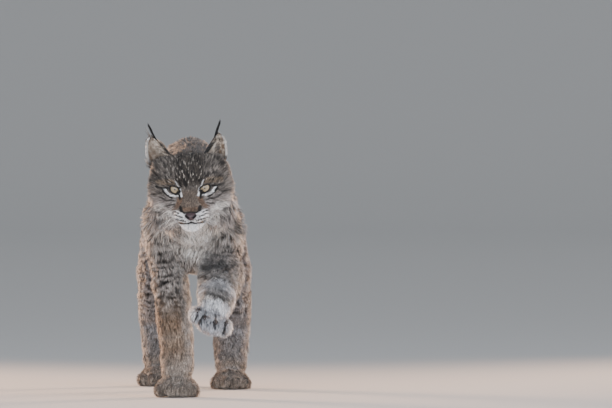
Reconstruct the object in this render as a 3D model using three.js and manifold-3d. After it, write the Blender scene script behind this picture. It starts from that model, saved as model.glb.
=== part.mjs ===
// A Eurasian lynx at life size, walking with its left forefoot lifted and its head carried low.
// Millimetres, +Z up. The animal faces -Y, and its left side is +X. The floor is z = 0.
// All surfaces are the outside of the winter coat.
import * as THREE from "three";
import { mergeVertices } from "three/addons/utils/BufferGeometryUtils.js";
import Module from "manifold-3d";

const wasm = await Module();
wasm.setup();

// Driving dimensions
const GAP = 0.3; // between pieces that meet
const FLOOR_CUT = 1.6; // how far the soles are pressed flat
const HEAD_PITCH = 17; // degrees, nose down
const HEAD_ROLL = 3; // degrees, crown towards the animal's right
const EYE_MIDPOINT = [-10.6, -290, 458];
const EYE_SPREAD = 31; // half the distance between the eyes
const EYE_RADIUS = 15;
const EYE_SLANT = 22; // degrees, outer corner up
const EYE_OPENING = [13.2, 9.6]; // half width and half height between the lids
const LID = 2.2; // thickness
const EAR_TUFT = 40;
const PAW_HALF_WIDTH = 50;
const LIMB_SIDES = 12;

const vec = (x, y, z) => new THREE.Vector3(x, y, z);
const rad = THREE.MathUtils.degToRad;
const lerp = THREE.MathUtils.lerp;

// Finishes
const finish = (color, roughness = 0.9, metalness = 0) =>
  new THREE.MeshStandardMaterial({ color, roughness, metalness });
const COAT = finish("#8f8376");
const PALE_COAT = finish("#c9c2b6");
const PAW_COAT = finish("#a58e74");
const BLACK_COAT = finish("#1d1917");
const LEATHER = finish("#4a3833", 0.5);
const EYE = finish("#b6a477", 0.12);

// Solids

function toSolid(geometry) {
  const bare = geometry.clone();
  bare.deleteAttribute("normal");
  bare.deleteAttribute("uv");
  const merged = mergeVertices(bare, 1e-3);
  const corners = new Uint32Array(merged.index.array);
  const build = () =>
    new wasm.Manifold(
      new wasm.Mesh({
        numProp: 3,
        vertProperties: merged.attributes.position.array,
        triVerts: corners,
      }),
    );
  const made = build();
  if (made.volume() >= 0) return made;
  for (let i = 0; i < corners.length; i += 3)
    [corners[i + 1], corners[i + 2]] = [corners[i + 2], corners[i + 1]];
  return build();
}

function toGeometry(solid) {
  const mesh = solid.getMesh();
  const places = new Float32Array(mesh.numVert * 3);
  for (let i = 0; i < mesh.numVert; i++)
    for (let k = 0; k < 3; k++)
      places[3 * i + k] = mesh.vertProperties[i * mesh.numProp + k];
  const geometry = new THREE.BufferGeometry();
  geometry.setAttribute("position", new THREE.BufferAttribute(places, 3));
  geometry.setIndex(new THREE.BufferAttribute(mesh.triVerts, 1));
  geometry.computeVertexNormals();
  return geometry;
}

const joined = (solids) => solids.reduce((a, b) => a.add(b));

// The closed surface of largest volume
const largest = (solid) =>
  solid.decompose().reduce((a, b) => (a.volume() > b.volume() ? a : b));

// A closed skin through rings of equal count, with a point or a flat fan at each end.
// From the column `fold` on, quads are split the other way, as the far face of a thin sheet needs.
function ringSkin(rings, start, end, fold = Infinity) {
  const count = rings[0].length;
  const places = [...rings.flat(), start, end];
  const first = rings.length * count;
  const faces = [];
  for (let r = 0; r + 1 < rings.length; r++)
    for (let i = 0; i < count; i++) {
      const j = (i + 1) % count;
      const [a, b] = [r * count + i, r * count + j];
      const [c, d] = [a + count, b + count];
      if (i < fold) faces.push(a, b, d, a, d, c);
      else faces.push(a, b, c, b, d, c);
    }
  for (let i = 0; i < count; i++) {
    const j = (i + 1) % count;
    const top = (rings.length - 1) * count;
    faces.push(first, j, i, first + 1, top + i, top + j);
  }
  const geometry = new THREE.BufferGeometry().setFromPoints(places);
  geometry.setIndex(faces);
  return geometry;
}

const middle = (ring) =>
  ring
    .reduce((sum, p) => sum.add(p), vec(0, 0, 0))
    .divideScalar(ring.length);

// A limb, trunk or tail. Each station is [x, y, z, half width, half depth], joined smoothly.
// `square` bends the section from an ellipse (2) towards a box, and `grow` thickens it all over.
function loft(stations, rings, sides, { square = 2.2, grow = 0, narrowTop = 0 } = {}) {
  const line = new THREE.CatmullRomCurve3(stations.map((s) => vec(...s.slice(0, 3))));
  const size = new THREE.CatmullRomCurve3(stations.map((s) => vec(s[3], s[4], 0)));
  const made = [];
  for (let r = 0; r <= rings; r++) {
    const t = r / rings;
    const along = line.getTangent(t);
    const centre = line.getPoint(t).addScaledVector(along, grow * (2 * t - 1));
    const [wide, deep] = size.getPoint(t).toArray();
    const side = vec(1, 0, 0).addScaledVector(along, -along.x).normalize();
    const up = side.clone().cross(along).normalize();
    const ring = [];
    for (let i = 0; i < sides; i++) {
      const angle = (2 * Math.PI * i) / sides;
      const [c, s] = [Math.cos(angle), Math.sin(angle)];
      const reach = (Math.abs(c) ** square + Math.abs(s) ** square) ** (-1 / square);
      const taper = 1 - narrowTop * (0.5 + 0.5 * s);
      ring.push(
        centre
          .clone()
          .addScaledVector(side, c * reach * (wide + grow) * taper)
          .addScaledVector(up, s * reach * (deep + grow)),
      );
    }
    made.push(ring);
  }
  return toSolid(ringSkin(made, middle(made[0]), middle(made.at(-1))));
}

// A flat, tapered lock of hair that leaves `root` along `start` and bends to end along `finish`
const LOCK_FORM = [0.55, 1, 0.92, 0.6]; // width at each quarter, before the tip

function lock(root, start, finish, length, width, thickness, flatNormal) {
  const rings = [];
  const at = root.clone();
  const [first, last] = [start.clone().normalize(), finish.clone().normalize()];
  LOCK_FORM.forEach((full, i) => {
    const along = first.clone().lerp(last, i / LOCK_FORM.length).normalize();
    const across = along.clone().cross(flatNormal).normalize();
    const over = across.clone().cross(along).normalize();
    const [w, h] = [0.5 * width * full, 0.5 * thickness * full];
    rings.push([
      at.clone().addScaledVector(across, w),
      at.clone().addScaledVector(over, h),
      at.clone().addScaledVector(across, -w),
      at.clone().addScaledVector(over, -h),
    ]);
    at.addScaledVector(along, length / LOCK_FORM.length);
  });
  return toSolid(ringSkin(rings, middle(rings[0]), at));
}

// A big block on the side of a plane that `outward` points to
function halfSpace(point, outward, reach = 1500) {
  const block = new THREE.BoxGeometry(2 * reach, 2 * reach, reach);
  const turn = new THREE.Quaternion().setFromUnitVectors(vec(0, 0, 1), outward.clone().normalize());
  block.translate(0, 0, reach / 2).applyQuaternion(turn);
  return toSolid(block.translate(...point.toArray()));
}

// A slab as thick as the gap, that parts a limb
function parting(point, along, reach = 130) {
  const plate = new THREE.BoxGeometry(2 * reach, 2 * reach, GAP);
  const turn = new THREE.Quaternion().setFromUnitVectors(vec(0, 0, 1), along.clone().normalize());
  return toSolid(plate.applyQuaternion(turn).translate(...point.toArray()));
}

// Repeatable random numbers
function random(seed) {
  let state = seed;
  return () => {
    state = (state * 1664525 + 1013904223) % 4294967296;
    return state / 4294967296;
  };
}

// Trunk: stations from breast to buttocks

const TRUNK = [
  [0, -112, 402, 18, 26],
  [0, -98, 404, 58, 72],
  [0, -62, 411, 88, 110],
  [-4, -10, 415, 107, 141],
  [-5, 60, 411, 112, 146],
  [-9, 150, 405, 113, 142],
  [-14, 250, 408, 115, 141],
  [-18, 335, 424, 114, 137],
  [-20, 415, 441, 111, 127],
  [-20, 480, 450, 100, 106],
  [-20, 528, 455, 74, 76],
  [-20, 556, 456, 28, 38],
];
const NECK = [
  [-10, -254, 454, 42, 44],
  [-10, -232, 456, 72, 66],
  [-9, -194, 452, 88, 84],
  [-8, -150, 448, 98, 96],
  [-5, -100, 442, 102, 108],
  [-3, -50, 437, 98, 114],
  [-2, 0, 433, 82, 106],
];
const TAIL = [
  [-20, 506, 484, 22, 24],
  [-21, 552, 478, 27, 29],
  [-22, 584, 446, 31, 31],
  [-23, 603, 408, 32, 31],
  [-25, 609, 368, 29, 28],
  [-26, 610, 343, 21, 20],
  [-26, 610, 331, 9, 9],
];
const TAIL_PARTING = vec(-24, 605, 386);

const trunkSolid = (grow = 0) =>
  loft(TRUNK, 20, 20, { square: 2.35, narrowTop: 0.27, grow });
const neckSolid = (grow = 0) => loft(NECK, 8, 20, { square: 2.2, narrowTop: 0.12, grow });

// Legs: stations from inside the trunk down to the root of the toes

const LEGS = {
  fore_right: {
    line: [
      [-64, -30, 462, 32, 46],
      [-78, -24, 400, 41, 66],
      [-78, -2, 335, 44, 66],
      [-67, 0, 285, 43, 54],
      [-57, -12, 225, 40, 45],
      [-50, -20, 168, 39, 40],
      [-44, -28, 112, 37, 36],
      [-43, -38, 76, 36, 34],
      [-43, -50, 48, 34, 29],
      [-43, -58, 26, 27, 22],
    ],
    partings: [
      [[-69, -1, 280], [-0.14, 0.08, 1]],
      [[-45.5, -31, 102], [-0.03, 0.2, 1]],
    ],
    names: ["upper_arm_right", "forearm_right", "forepaw_right"],
    sole: [-43, -68, 0],
  },
  fore_left: {
    line: [
      [46, -48, 462, 34, 46],
      [57, -50, 400, 40, 64],
      [60, -42, 345, 46, 64],
      [58, -44, 300, 49, 55],
      [55, -84, 268, 50, 47],
      [52, -130, 245, 48, 42],
      [48, -170, 224, 44, 38],
      [45, -196, 208, 39, 34],
      [41, -213, 192, 35, 27],
      [38, -222, 178, 26, 20],
    ],
    partings: [
      [[67, -58, 287], [0.02, 0.62, 0.78]],
      [[56, -180, 218], [0.12, 0.84, 0.5]],
    ],
    names: ["upper_arm_left", "forearm_left", "forepaw_left"],
    lifted: true,
  },
  hind_right: {
    line: [
      [-40, 440, 490, 26, 60],
      [-78, 440, 440, 40, 82],
      [-91, 420, 378, 43, 88],
      [-98, 404, 322, 44, 74],
      [-102, 418, 270, 44, 57],
      [-102, 462, 222, 43, 46],
      [-101, 508, 184, 41, 39],
      [-100, 534, 148, 39, 35],
      [-99, 530, 108, 36, 32],
      [-98, 514, 74, 34, 32],
      [-98, 500, 48, 32, 28],
      [-98, 490, 26, 26, 20],
    ],
    partings: [
      [[-100.5, 414, 282], [0, -0.32, 1]],
      [[-99, 522, 166], [0, -0.62, 1]],
    ],
    names: ["thigh_right", "shank_right", "hindpaw_right"],
    sole: [-98, 478, 0],
  },
  hind_left: {
    line: [
      [4, 430, 490, 26, 60],
      [42, 420, 440, 38, 84],
      [58, 380, 378, 42, 90],
      [66, 340, 322, 47, 76],
      [70, 330, 268, 49, 60],
      [70, 350, 218, 48, 50],
      [70, 380, 178, 46, 42],
      [70, 394, 142, 43, 37],
      [70, 384, 104, 40, 34],
      [70, 362, 72, 37, 33],
      [70, 344, 46, 34, 28],
      [70, 334, 26, 26, 20],
    ],
    partings: [
      [[69.5, 330, 281], [0, -0.25, 1]],
      [[70, 388, 160], [0, -0.55, 1]],
    ],
    names: ["thigh_left", "shank_left", "hindpaw_left"],
    sole: [70, 322, 0],
  },
};

// Toes fan out from the palm: across, forward, height, and half sizes in the same order
const TOES = [
  [-35, 20, 18, 15, 26, 18],
  [-12, 36, 19, 14, 26, 19],
  [12, 36, 19, 14, 26, 19],
  [35, 20, 18, 15, 26, 18],
];
const PALM = [0, -2, 27, 43, 40, 28];
const HEEL = [0, -18, 15, 28, 20, 16];

const ball = ([x, y, z, rx, ry, rz], across, round) =>
  new THREE.SphereGeometry(1, across, round)
    .rotateX(Math.PI / 2)
    .scale(rx, ry, rz)
    .translate(x, y, z);

// A foot about its own sole: +X across, +Y towards the toes, +Z up
function foot(turn, size) {
  const fan = (toe) => {
    const lean = (-toe[0] / PAW_HALF_WIDTH) * rad(16);
    return ball([0, 0, 0, ...toe.slice(3)], 8, 6)
      .rotateZ(lean)
      .translate(...toe.slice(0, 3));
  };
  const pieces = [ball(PALM, 12, 7), ball(HEEL, 8, 5), ...TOES.map(fan)];
  return joined(pieces.map((p) => toSolid(p.scale(size, size, size).applyMatrix4(turn))));
}

const pointing = (across, forward, up, at) =>
  new THREE.Matrix4().makeBasis(across, forward, up).setPosition(at);

// A foot on the floor, pointing ahead and pressed flat a little
const standing = (sole) =>
  pointing(vec(-1, 0, 0), vec(0, -1, 0), vec(0, 0, 1), vec(sole[0], sole[1], -FLOOR_CUT));

// The lifted foot: its toes point ahead and down, and its inner edge is higher
function hanging() {
  const forward = vec(-0.24, -0.9, -0.36).normalize();
  const side = vec(0.92, 0, -0.39);
  const across = side.addScaledVector(forward, -side.dot(forward)).normalize();
  const up = forward.clone().cross(across).negate();
  const at = vec(34, -239, 172).addScaledVector(forward, -13).addScaledVector(up, -22);
  return pointing(across.negate(), forward, up, at);
}

function leg({ line, partings, names, sole, lifted }, body) {
  const rings = Math.round(1.6 * line.length);
  const size = names[2].startsWith("hind") ? 0.92 : 1;
  let whole = loft(line, rings, LIMB_SIDES, { square: 2.15 });
  whole = whole.add(foot(lifted ? hanging() : standing(sole), size));
  whole = whole.subtract(body).subtract(halfSpace(vec(0, 0, 0), vec(0, 0, -1)));
  const cuts = partings.map(([at, along]) => parting(vec(...at), vec(...along)));
  const pieces = whole.subtract(joined(cuts)).decompose();
  pieces.sort((a, b) => b.volume() - a.volume());
  const height = (piece) => {
    const box = piece.boundingBox();
    return box.max[2] + box.min[2];
  };
  const kept = pieces.slice(0, 3).sort((a, b) => height(b) - height(a));
  return kept.map((piece, i) => [names[i], piece]);
}

// Head: built about the point midway between the eyes, +X to its left, +Y ahead, +Z up

const HEAD_CENTRE = vec(0, -34, -8);

function toWorld() {
  const [roll, pitch] = [rad(HEAD_ROLL), rad(HEAD_PITCH)];
  const ahead = vec(0, -Math.cos(pitch), -Math.sin(pitch));
  const turn = new THREE.Quaternion().setFromAxisAngle(ahead, roll);
  const up = vec(0, -Math.sin(pitch), Math.cos(pitch)).applyQuaternion(turn);
  const left = ahead.clone().cross(up);
  return pointing(left.negate(), ahead, up, vec(...EYE_MIDPOINT));
}

const eyeCentre = (side) => vec(side * EYE_SPREAD, -5, 0);
const eyeGaze = (side) => vec(side * 0.16, 1, -0.05).normalize();

function ellipsoidField(p, centre, radii) {
  const q = p.clone().sub(centre);
  const scaled = q.clone().divide(radii);
  const k = scaled.length();
  return (k * (k - 1)) / Math.max(1e-6, scaled.divide(radii).length());
}

function barField(p, from, to, r1, r2) {
  const along = to.clone().sub(from);
  const q = p.clone().sub(from);
  const t = THREE.MathUtils.clamp(q.dot(along) / along.lengthSq(), 0, 1);
  return q.addScaledVector(along, -t).length() - lerp(r1, r2, t);
}

const blend = (a, b, k) => {
  const h = Math.max(k - Math.abs(a - b), 0) / k;
  return Math.min(a, b) - (h * h * k) / 4;
};

// Distance outside the coat of the head, mirrored about its middle
function headField(point) {
  const p = vec(Math.abs(point.x), point.y, point.z);
  let d = ellipsoidField(p, vec(0, -50, 6), vec(70, 62, 53)); // braincase
  d = blend(d, ellipsoidField(p, vec(48, -54, 17), vec(37, 38, 39)), 14); // temple
  d = blend(d, ellipsoidField(p, vec(52, -42, -25), vec(38, 42, 44)), 14); // cheek
  d = blend(d, barField(p, vec(32, -44, -54), vec(14, 18, -68), 28, 16), 14); // jaw
  d = blend(d, ellipsoidField(p, vec(30, -9, 19), vec(24, 15, 13)), 12); // brow
  d = blend(d, ellipsoidField(p, vec(37, -8, -19), vec(24, 15, 13)), 12); // under the eye
  d = blend(d, barField(p, vec(0, -10, 6), vec(0, 43, -33), 25, 15), 14); // bridge of the nose
  d = blend(d, barField(p, vec(0, 4, -36), vec(0, 36, -44), 35, 25), 12); // muzzle
  d = blend(d, ellipsoidField(p, vec(19, 36, -49), vec(22, 21, 14)), 6); // whisker pad
  d = blend(d, ellipsoidField(p, vec(0, 36, -74), vec(22, 18, 12)), 5); // chin
  d = blend(d, eyeCentre(1).distanceTo(p) - EYE_RADIUS - 1.6, 9); // lids
  const corner = barField(p, vec(13, 26, -4), vec(17, 30, -20), 5, 4); // beside the bridge
  return -blend(-d, corner, 9);
}

// The point of a field's surface that a ray from the centre first meets
function surfaceAlong(direction, grow = 0) {
  const at = (t) => HEAD_CENTRE.clone().addScaledVector(direction, t);
  let far = 12;
  while (far < 190 && headField(at(far)) < grow) far += 1.5;
  let near = far - 1.5;
  for (let i = 0; i < 14; i++) {
    const half = (near + far) / 2;
    if (headField(at(half)) < grow) near = half;
    else far = half;
  }
  return at(near);
}

const headward = (fromFront, around) =>
  vec(
    Math.sin(fromFront) * Math.sin(around),
    Math.cos(fromFront),
    Math.sin(fromFront) * Math.cos(around),
  );

// The skull's skin, with rings that lie closest together over the face. Each ring starts below,
// so that the fold mirrors its facets.
function skull(grow = 0) {
  const [rings, sides, widest] = [24, 38, rad(168)];
  const made = [];
  for (let r = 1; r <= rings; r++) {
    const fromFront = widest * (r / rings) ** 1.35;
    const ring = [];
    for (let i = 0; i < sides; i++)
      ring.push(surfaceAlong(headward(fromFront, Math.PI * (1 + (2 * i) / sides)), grow));
    made.push(ring);
  }
  const front = surfaceAlong(vec(0, 1, 0), grow);
  return toSolid(ringSkin(made, front, middle(made.at(-1)), sides / 2));
}

// A tube along points, closed on itself or open, with a thickness for each end
function tube(points, radius, sides, closed = false) {
  const line = new THREE.CatmullRomCurve3(points, closed);
  const outline = new THREE.Shape().absarc(0, 0, radius, 0, 2 * Math.PI, false);
  const round = new THREE.Shape(outline.getSpacedPoints(sides).slice(0, sides));
  const steps = 2 * points.length - 2;
  return toSolid(
    new THREE.ExtrudeGeometry(round, { steps, extrudePath: line, bevelEnabled: false }),
  );
}

function eyeball(side, grow = 0) {
  const turn = new THREE.Quaternion().setFromUnitVectors(vec(0, 1, 0), eyeGaze(side));
  const geometry = new THREE.SphereGeometry(EYE_RADIUS + grow, 16, 10);
  return toSolid(geometry.applyQuaternion(turn).translate(...eyeCentre(side).toArray()));
}

// The almond between the lids, as a prism ahead of the eye
function eyeOpening(side) {
  const outline = new THREE.Shape();
  const steps = 16;
  for (let i = 0; i < steps; i++) {
    const a = (2 * Math.PI * i) / steps;
    const x = Math.cos(a) * EYE_OPENING[0];
    const y = Math.sign(Math.sin(a)) * Math.abs(Math.sin(a)) ** 1.25 * EYE_OPENING[1];
    if (i === 0) outline.moveTo(x, y);
    else outline.lineTo(x, y);
  }
  const prism = new THREE.ExtrudeGeometry(outline, { depth: 30, bevelEnabled: false });
  const gaze = eyeGaze(side);
  const level = vec(1, 0, 0).applyAxisAngle(vec(0, 1, 0), -side * rad(EYE_SLANT));
  const across = level.addScaledVector(gaze, -level.dot(gaze)).normalize();
  const up = gaze.clone().cross(across);
  return toSolid(prism.applyMatrix4(pointing(across, up, gaze, eyeCentre(side))));
}

// Both lids, as one shell about the eye
const lids = (side) => eyeball(side, GAP + LID);

// The nose leather: broad above, narrow towards the lip
const NOSE = vec(0, 57, -44);

function leather(grow = 0) {
  const wedge = new THREE.SphereGeometry(1, 12, 8);
  const place = wedge.attributes.position;
  for (let i = 0; i < place.count; i++) {
    const [x, y, z] = [place.getX(i), place.getY(i), place.getZ(i)];
    const width = lerp(0.45, 1, THREE.MathUtils.smoothstep(z, -1, 0.3));
    place.setXYZ(i, x * width * (15 + grow), y * (11 + grow), z * (10.5 + grow));
  }
  return toSolid(wedge.rotateX(rad(-14)).translate(...NOSE.toArray()));
}

function nose() {
  const nostril = (side) =>
    toSolid(ball([side * 6.8, 67, -45.5, 3, 5, 2.4], 7, 5));
  return leather().subtract(joined([nostril(-1), nostril(1)]));
}

// A point on the face from its place across and up, pushed out by `out`
function onFace(across, up, out = 0) {
  let guess = vec(across, 60, up);
  for (let i = 0; i < 4; i++) {
    const direction = guess.clone().sub(HEAD_CENTRE).normalize();
    guess = surfaceAlong(direction);
    guess.x = across;
    guess.z = up;
  }
  const direction = guess.clone().sub(HEAD_CENTRE).normalize();
  return surfaceAlong(direction).addScaledVector(direction, out);
}

// The line of the mouth, from the corner at one side to the other, and the groove up to the nose
function mouth() {
  const across = [-34, -27, -19, -11, 0, 11, 19, 27, 34];
  const dip = [-55, -60, -63, -63, -60, -63, -63, -60, -55];
  const line = across.map((x, i) => onFace(x, dip[i], -0.9));
  const groove = [-62, -57, -52].map((up) => onFace(0, up));
  return [tube(line, 3.1, 5), tube(groove, 1.8, 5)];
}

function lowerLip() {
  const across = [-24, -16, -8, 0, 8, 16, 24];
  return tube(across.map((x) => onFace(x, -67 + 0.004 * x * x, -0.6)), 2.6, 6);
}

// Ruff: rows of locks down each cheek, rooted in the skull and swept back and down.
// Each row is [count, place from the front, its upper and lower end around, length, width]
const RUFF = [
  [10, 88, 84, 158, 50, 26],
  [9, 72, 94, 156, 44, 24],
  [7, 56, 108, 150, 34, 20],
];

function ruff(draw) {
  const locks = [];
  for (const side of [-1, 1])
    for (const [count, fromFront, upper, lower, length, width] of RUFF)
      for (let i = 0; i < count; i++) {
        const share = i / (count - 1);
        const around = rad(lerp(upper, lower, share) + 3 * (draw() - 0.5));
        const out = headward(rad(fromFront + 4 * (draw() - 0.5)), side * around);
        const root = surfaceAlong(out).addScaledVector(out, -9);
        const hang = vec(side * lerp(0.35, 0.05, share), -0.45, -1).normalize();
        const start = hang.clone().addScaledVector(out, 0.42 - hang.dot(out));
        const tip = hang.addScaledVector(out, 0.2);
        const long = length * (0.85 + 0.3 * draw()) * lerp(0.7, 1, Math.sin(Math.PI * share) ** 0.6);
        locks.push(lock(root, start, tip, long, width, 9, out));
      }
  return joined(locks);
}

// Ears: a cupped sheet that opens ahead, closed by its own thickness, with a tuft on the tip

const EAR_LEAN = 6; // how far the tips stand towards the animal's right
const earRoot = (side) => vec(49 - 0.5 * EAR_LEAN * side, -62, 20);
const earTip = (side) => vec(69 - EAR_LEAN * side, -76, 103);

function earFrame(side) {
  const run = earTip(side).sub(earRoot(side));
  const length = run.length();
  const up = run.normalize();
  const open = vec(0.3, 1, 0.1);
  const ahead = open.addScaledVector(up, -open.dot(up)).normalize();
  const across = ahead.clone().cross(up);
  return { up, ahead, across, length };
}

// u runs from the inner edge (-1) to the outer edge (1), v from the root (0) to the tip (1).
// The inner edge runs straight to the tip, and the outer one stands up before it turns in.
function earPoint(side, u, v, back) {
  const { up, ahead, across, length } = earFrame(side);
  const inner = 39 * (1 - v) ** 0.85 + 1.5;
  const outer = lerp(18, 31, THREE.MathUtils.smoothstep(v, 0, 0.5)) - 14 * v * v;
  const round = Math.sqrt(Math.max(0, 1 - v ** 5));
  const width = u < 0 ? inner : outer * round + 1.5;
  const cup = lerp(26, 4, v) * (1 - u * u);
  const thick = back * lerp(7, 3, v) * (1 - 0.6 * u * u);
  return earRoot(side)
    .addScaledVector(across, u * width)
    .addScaledVector(up, v * length)
    .addScaledVector(ahead, 8 - cup - thick);
}

function ear(side, draw) {
  const [columns, rows] = [10, 8];
  const rings = [];
  for (let r = 0; r <= rows; r++) {
    const front = [];
    const rear = [];
    for (let c = 0; c <= columns; c++) {
      const u = (2 * c) / columns - 1;
      front.push(earPoint(side, u, r / rows, 0));
      rear.push(earPoint(side, u, r / rows, 1));
    }
    rings.push([...front, ...rear.reverse()]);
  }
  const cup = toSolid(ringSkin(rings, middle(rings[0]), middle(rings.at(-1)), columns));
  const { up, ahead, across, length } = earFrame(side);
  const tuft = [];
  for (let i = 0; i < 3; i++) {
    const root = earRoot(side)
      .addScaledVector(up, length * 0.86)
      .addScaledVector(ahead, 1.5)
      .addScaledVector(across, (i - 1) * 2.4);
    const lean = up.clone().addScaledVector(across, 0.08 * (1 - i) - 0.1);
    const tip = up.clone().add(vec(0.16 + 0.06 * (draw() - 0.5), -0.12, 0.2));
    tuft.push(lock(root, lean, tip, EAR_TUFT * (0.84 + 0.13 * i), 8, 5, ahead));
  }
  const whole = cup.add(joined(tuft));
  return side > 0 ? whole : whole.mirror([1, 0, 0]);
}

// Assembly

const lynx = new THREE.Group();

function place(name, solid, material) {
  const mesh = new THREE.Mesh(toGeometry(largest(solid)), material);
  mesh.name = name;
  lynx.add(mesh);
}

const atHead = (solid) => solid.transform(toWorld().elements);

const trunk = trunkSolid();
const trunkRoom = trunkSolid(GAP);
const neckRoom = neckSolid(GAP);

const both = (make) => joined([make(-1), make(1)]);
const bare = joined([skull(), both(lids), lowerLip()])
  .subtract(joined(mouth()))
  .subtract(leather(GAP))
  .subtract(both((side) => eyeball(side, GAP)))
  .subtract(both(eyeOpening));
const ruffLocks = atHead(ruff(random(7)).subtract(leather(GAP))).subtract(neckRoom);
const headSolid = atHead(bare).add(ruffLocks).subtract(trunkRoom);
const neck = neckSolid().subtract(atHead(skull(GAP))).subtract(trunkRoom);

place("torso", trunk, COAT);
place("neck", neck, COAT);
place("head", headSolid, COAT);
place("nose", atHead(nose()), LEATHER);

for (const side of [-1, 1]) {
  const suffix = side < 0 ? "right" : "left";
  place("eye_" + suffix, atHead(eyeball(side)), EYE);
  const whole = ear(side, random(21 + side)).subtract(skull(GAP));
  place("ear_" + suffix, atHead(whole).subtract(neckRoom), PALE_COAT);
}

const body = trunkRoom.add(neckRoom);
for (const limb of Object.values(LEGS))
  for (const [name, solid] of leg(limb, body))
    place(name, solid, name.includes("paw") ? PAW_COAT : COAT);

const tailSolid = loft(TAIL, 10, 12)
  .subtract(trunkRoom)
  .subtract(parting(TAIL_PARTING, vec(0.05, -0.15, 1)));
const tailPieces = tailSolid.decompose().sort((a, b) => b.volume() - a.volume());
place("tail", tailPieces[0], COAT);
place("tail_tip", tailPieces[1], BLACK_COAT);

// The origin is on the floor, under the middle of the whole
const bounds = new THREE.Box3().setFromObject(lynx);
const centre = bounds.getCenter(vec(0, 0, 0));
lynx.position.set(-centre.x, -centre.y, -bounds.min.z);

export default lynx;
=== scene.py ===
"""Dresses the lynx: one skin, its winter coat, eyes, nose, lips, whiskers and pads, and a studio.

Blender works in metres, +Z up. The animal faces -Y, and its own left side is +X. Anatomy is
worked out in millimetres about the same design point as the solids, which `Body` finds again
from the eyes.
"""
import logging
import math
from dataclasses import dataclass, field
from enum import Enum
from typing import Iterable, Sequence

import bmesh
import bpy
import numpy as np
from mathutils import Matrix, Vector


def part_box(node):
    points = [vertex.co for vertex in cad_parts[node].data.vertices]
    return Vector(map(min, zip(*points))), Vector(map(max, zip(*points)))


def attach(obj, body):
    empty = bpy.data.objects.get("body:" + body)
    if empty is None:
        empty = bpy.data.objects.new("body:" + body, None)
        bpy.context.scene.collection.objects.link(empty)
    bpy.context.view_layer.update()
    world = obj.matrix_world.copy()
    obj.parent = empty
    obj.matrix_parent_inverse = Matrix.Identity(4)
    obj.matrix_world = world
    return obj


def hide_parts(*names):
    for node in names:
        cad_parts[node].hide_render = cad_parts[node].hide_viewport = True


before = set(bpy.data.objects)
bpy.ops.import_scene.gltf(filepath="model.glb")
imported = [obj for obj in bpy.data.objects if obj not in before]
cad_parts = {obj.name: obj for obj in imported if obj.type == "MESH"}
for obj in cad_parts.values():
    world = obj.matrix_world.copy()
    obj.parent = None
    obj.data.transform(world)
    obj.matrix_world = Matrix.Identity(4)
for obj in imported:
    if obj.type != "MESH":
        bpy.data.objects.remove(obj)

logging.basicConfig(level=logging.INFO, format="%(message)s")
log = logging.getLogger("lynx")

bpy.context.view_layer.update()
MM = 0.001
SEED = 11
PHOTO_SIZE = (612, 408)
Array = np.ndarray


# Small helpers


def linear(code: str) -> Array:
    """Turns an sRGB hex code into linear light.

    Args:
        code: Six hex digits, with or without a leading #.

    Returns:
        Three linear values.
    """
    digits = code.lstrip("#")
    srgb = np.array([int(digits[i : i + 2], 16) / 255 for i in (0, 2, 4)])
    return np.where(srgb <= 0.04045, srgb / 12.92, ((srgb + 0.055) / 1.055) ** 2.4)


def unit(vectors: Array) -> Array:
    """Returns the vectors with a length of one."""
    return vectors / np.maximum(np.linalg.norm(vectors, axis=-1, keepdims=True), 1e-9)


def dots(a: Array, b: Array) -> Array:
    """Returns the dot products of two lists of vectors."""
    return np.sum(a * b, axis=-1)


def ramp(values: Array, low: float, high: float) -> Array:
    """Rises smoothly from 0 at low to 1 at high, or falls where high is below low."""
    t = np.clip((values - low) / (high - low), 0, 1)
    return t * t * (3 - 2 * t)


def mix(a: Array, b: Array, share: Array) -> Array:
    """Blends rows of a into rows of b by a share for each row."""
    share = np.asarray(share)[..., None]
    return a * (1 - share) + b * share


def hashed(cells: Array, seed: int) -> Array:
    """Gives each whole-numbered cell its own repeatable random value.

    Args:
        cells: Cell numbers, three to a row.
        seed: Picks one of many such patterns.

    Returns:
        Values from 0 to 1.
    """
    c = cells.astype(np.int64)
    mixed = (c[..., 0] * 73856093) ^ (c[..., 1] * 19349663) ^ (c[..., 2] * 83492791)
    mixed = (mixed ^ (seed * 2654435761)) & 0xFFFFFFFF
    mixed = ((mixed ^ (mixed >> 15)) * 2246822519) & 0xFFFFFFFF
    mixed = ((mixed ^ (mixed >> 13)) * 3266489917) & 0xFFFFFFFF
    return (mixed ^ (mixed >> 16)) / 4294967296.0


def cloud(points: Array, size: float, seed: int) -> Array:
    """Smooth random values over space.

    Args:
        points: Places in millimetres.
        size: Distance in millimetres over which the values change.
        seed: Picks the pattern.

    Returns:
        Values from 0 to 1.
    """
    scaled = points / size
    base = np.floor(scaled)
    t = scaled - base
    t = t * t * (3 - 2 * t)
    total = np.zeros(len(points))
    for corner in np.ndindex(2, 2, 2):
        step = np.array(corner)
        weight = np.prod(np.where(step, t, 1 - t), axis=1)
        total += weight * hashed(base + step, seed)
    return total


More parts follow.
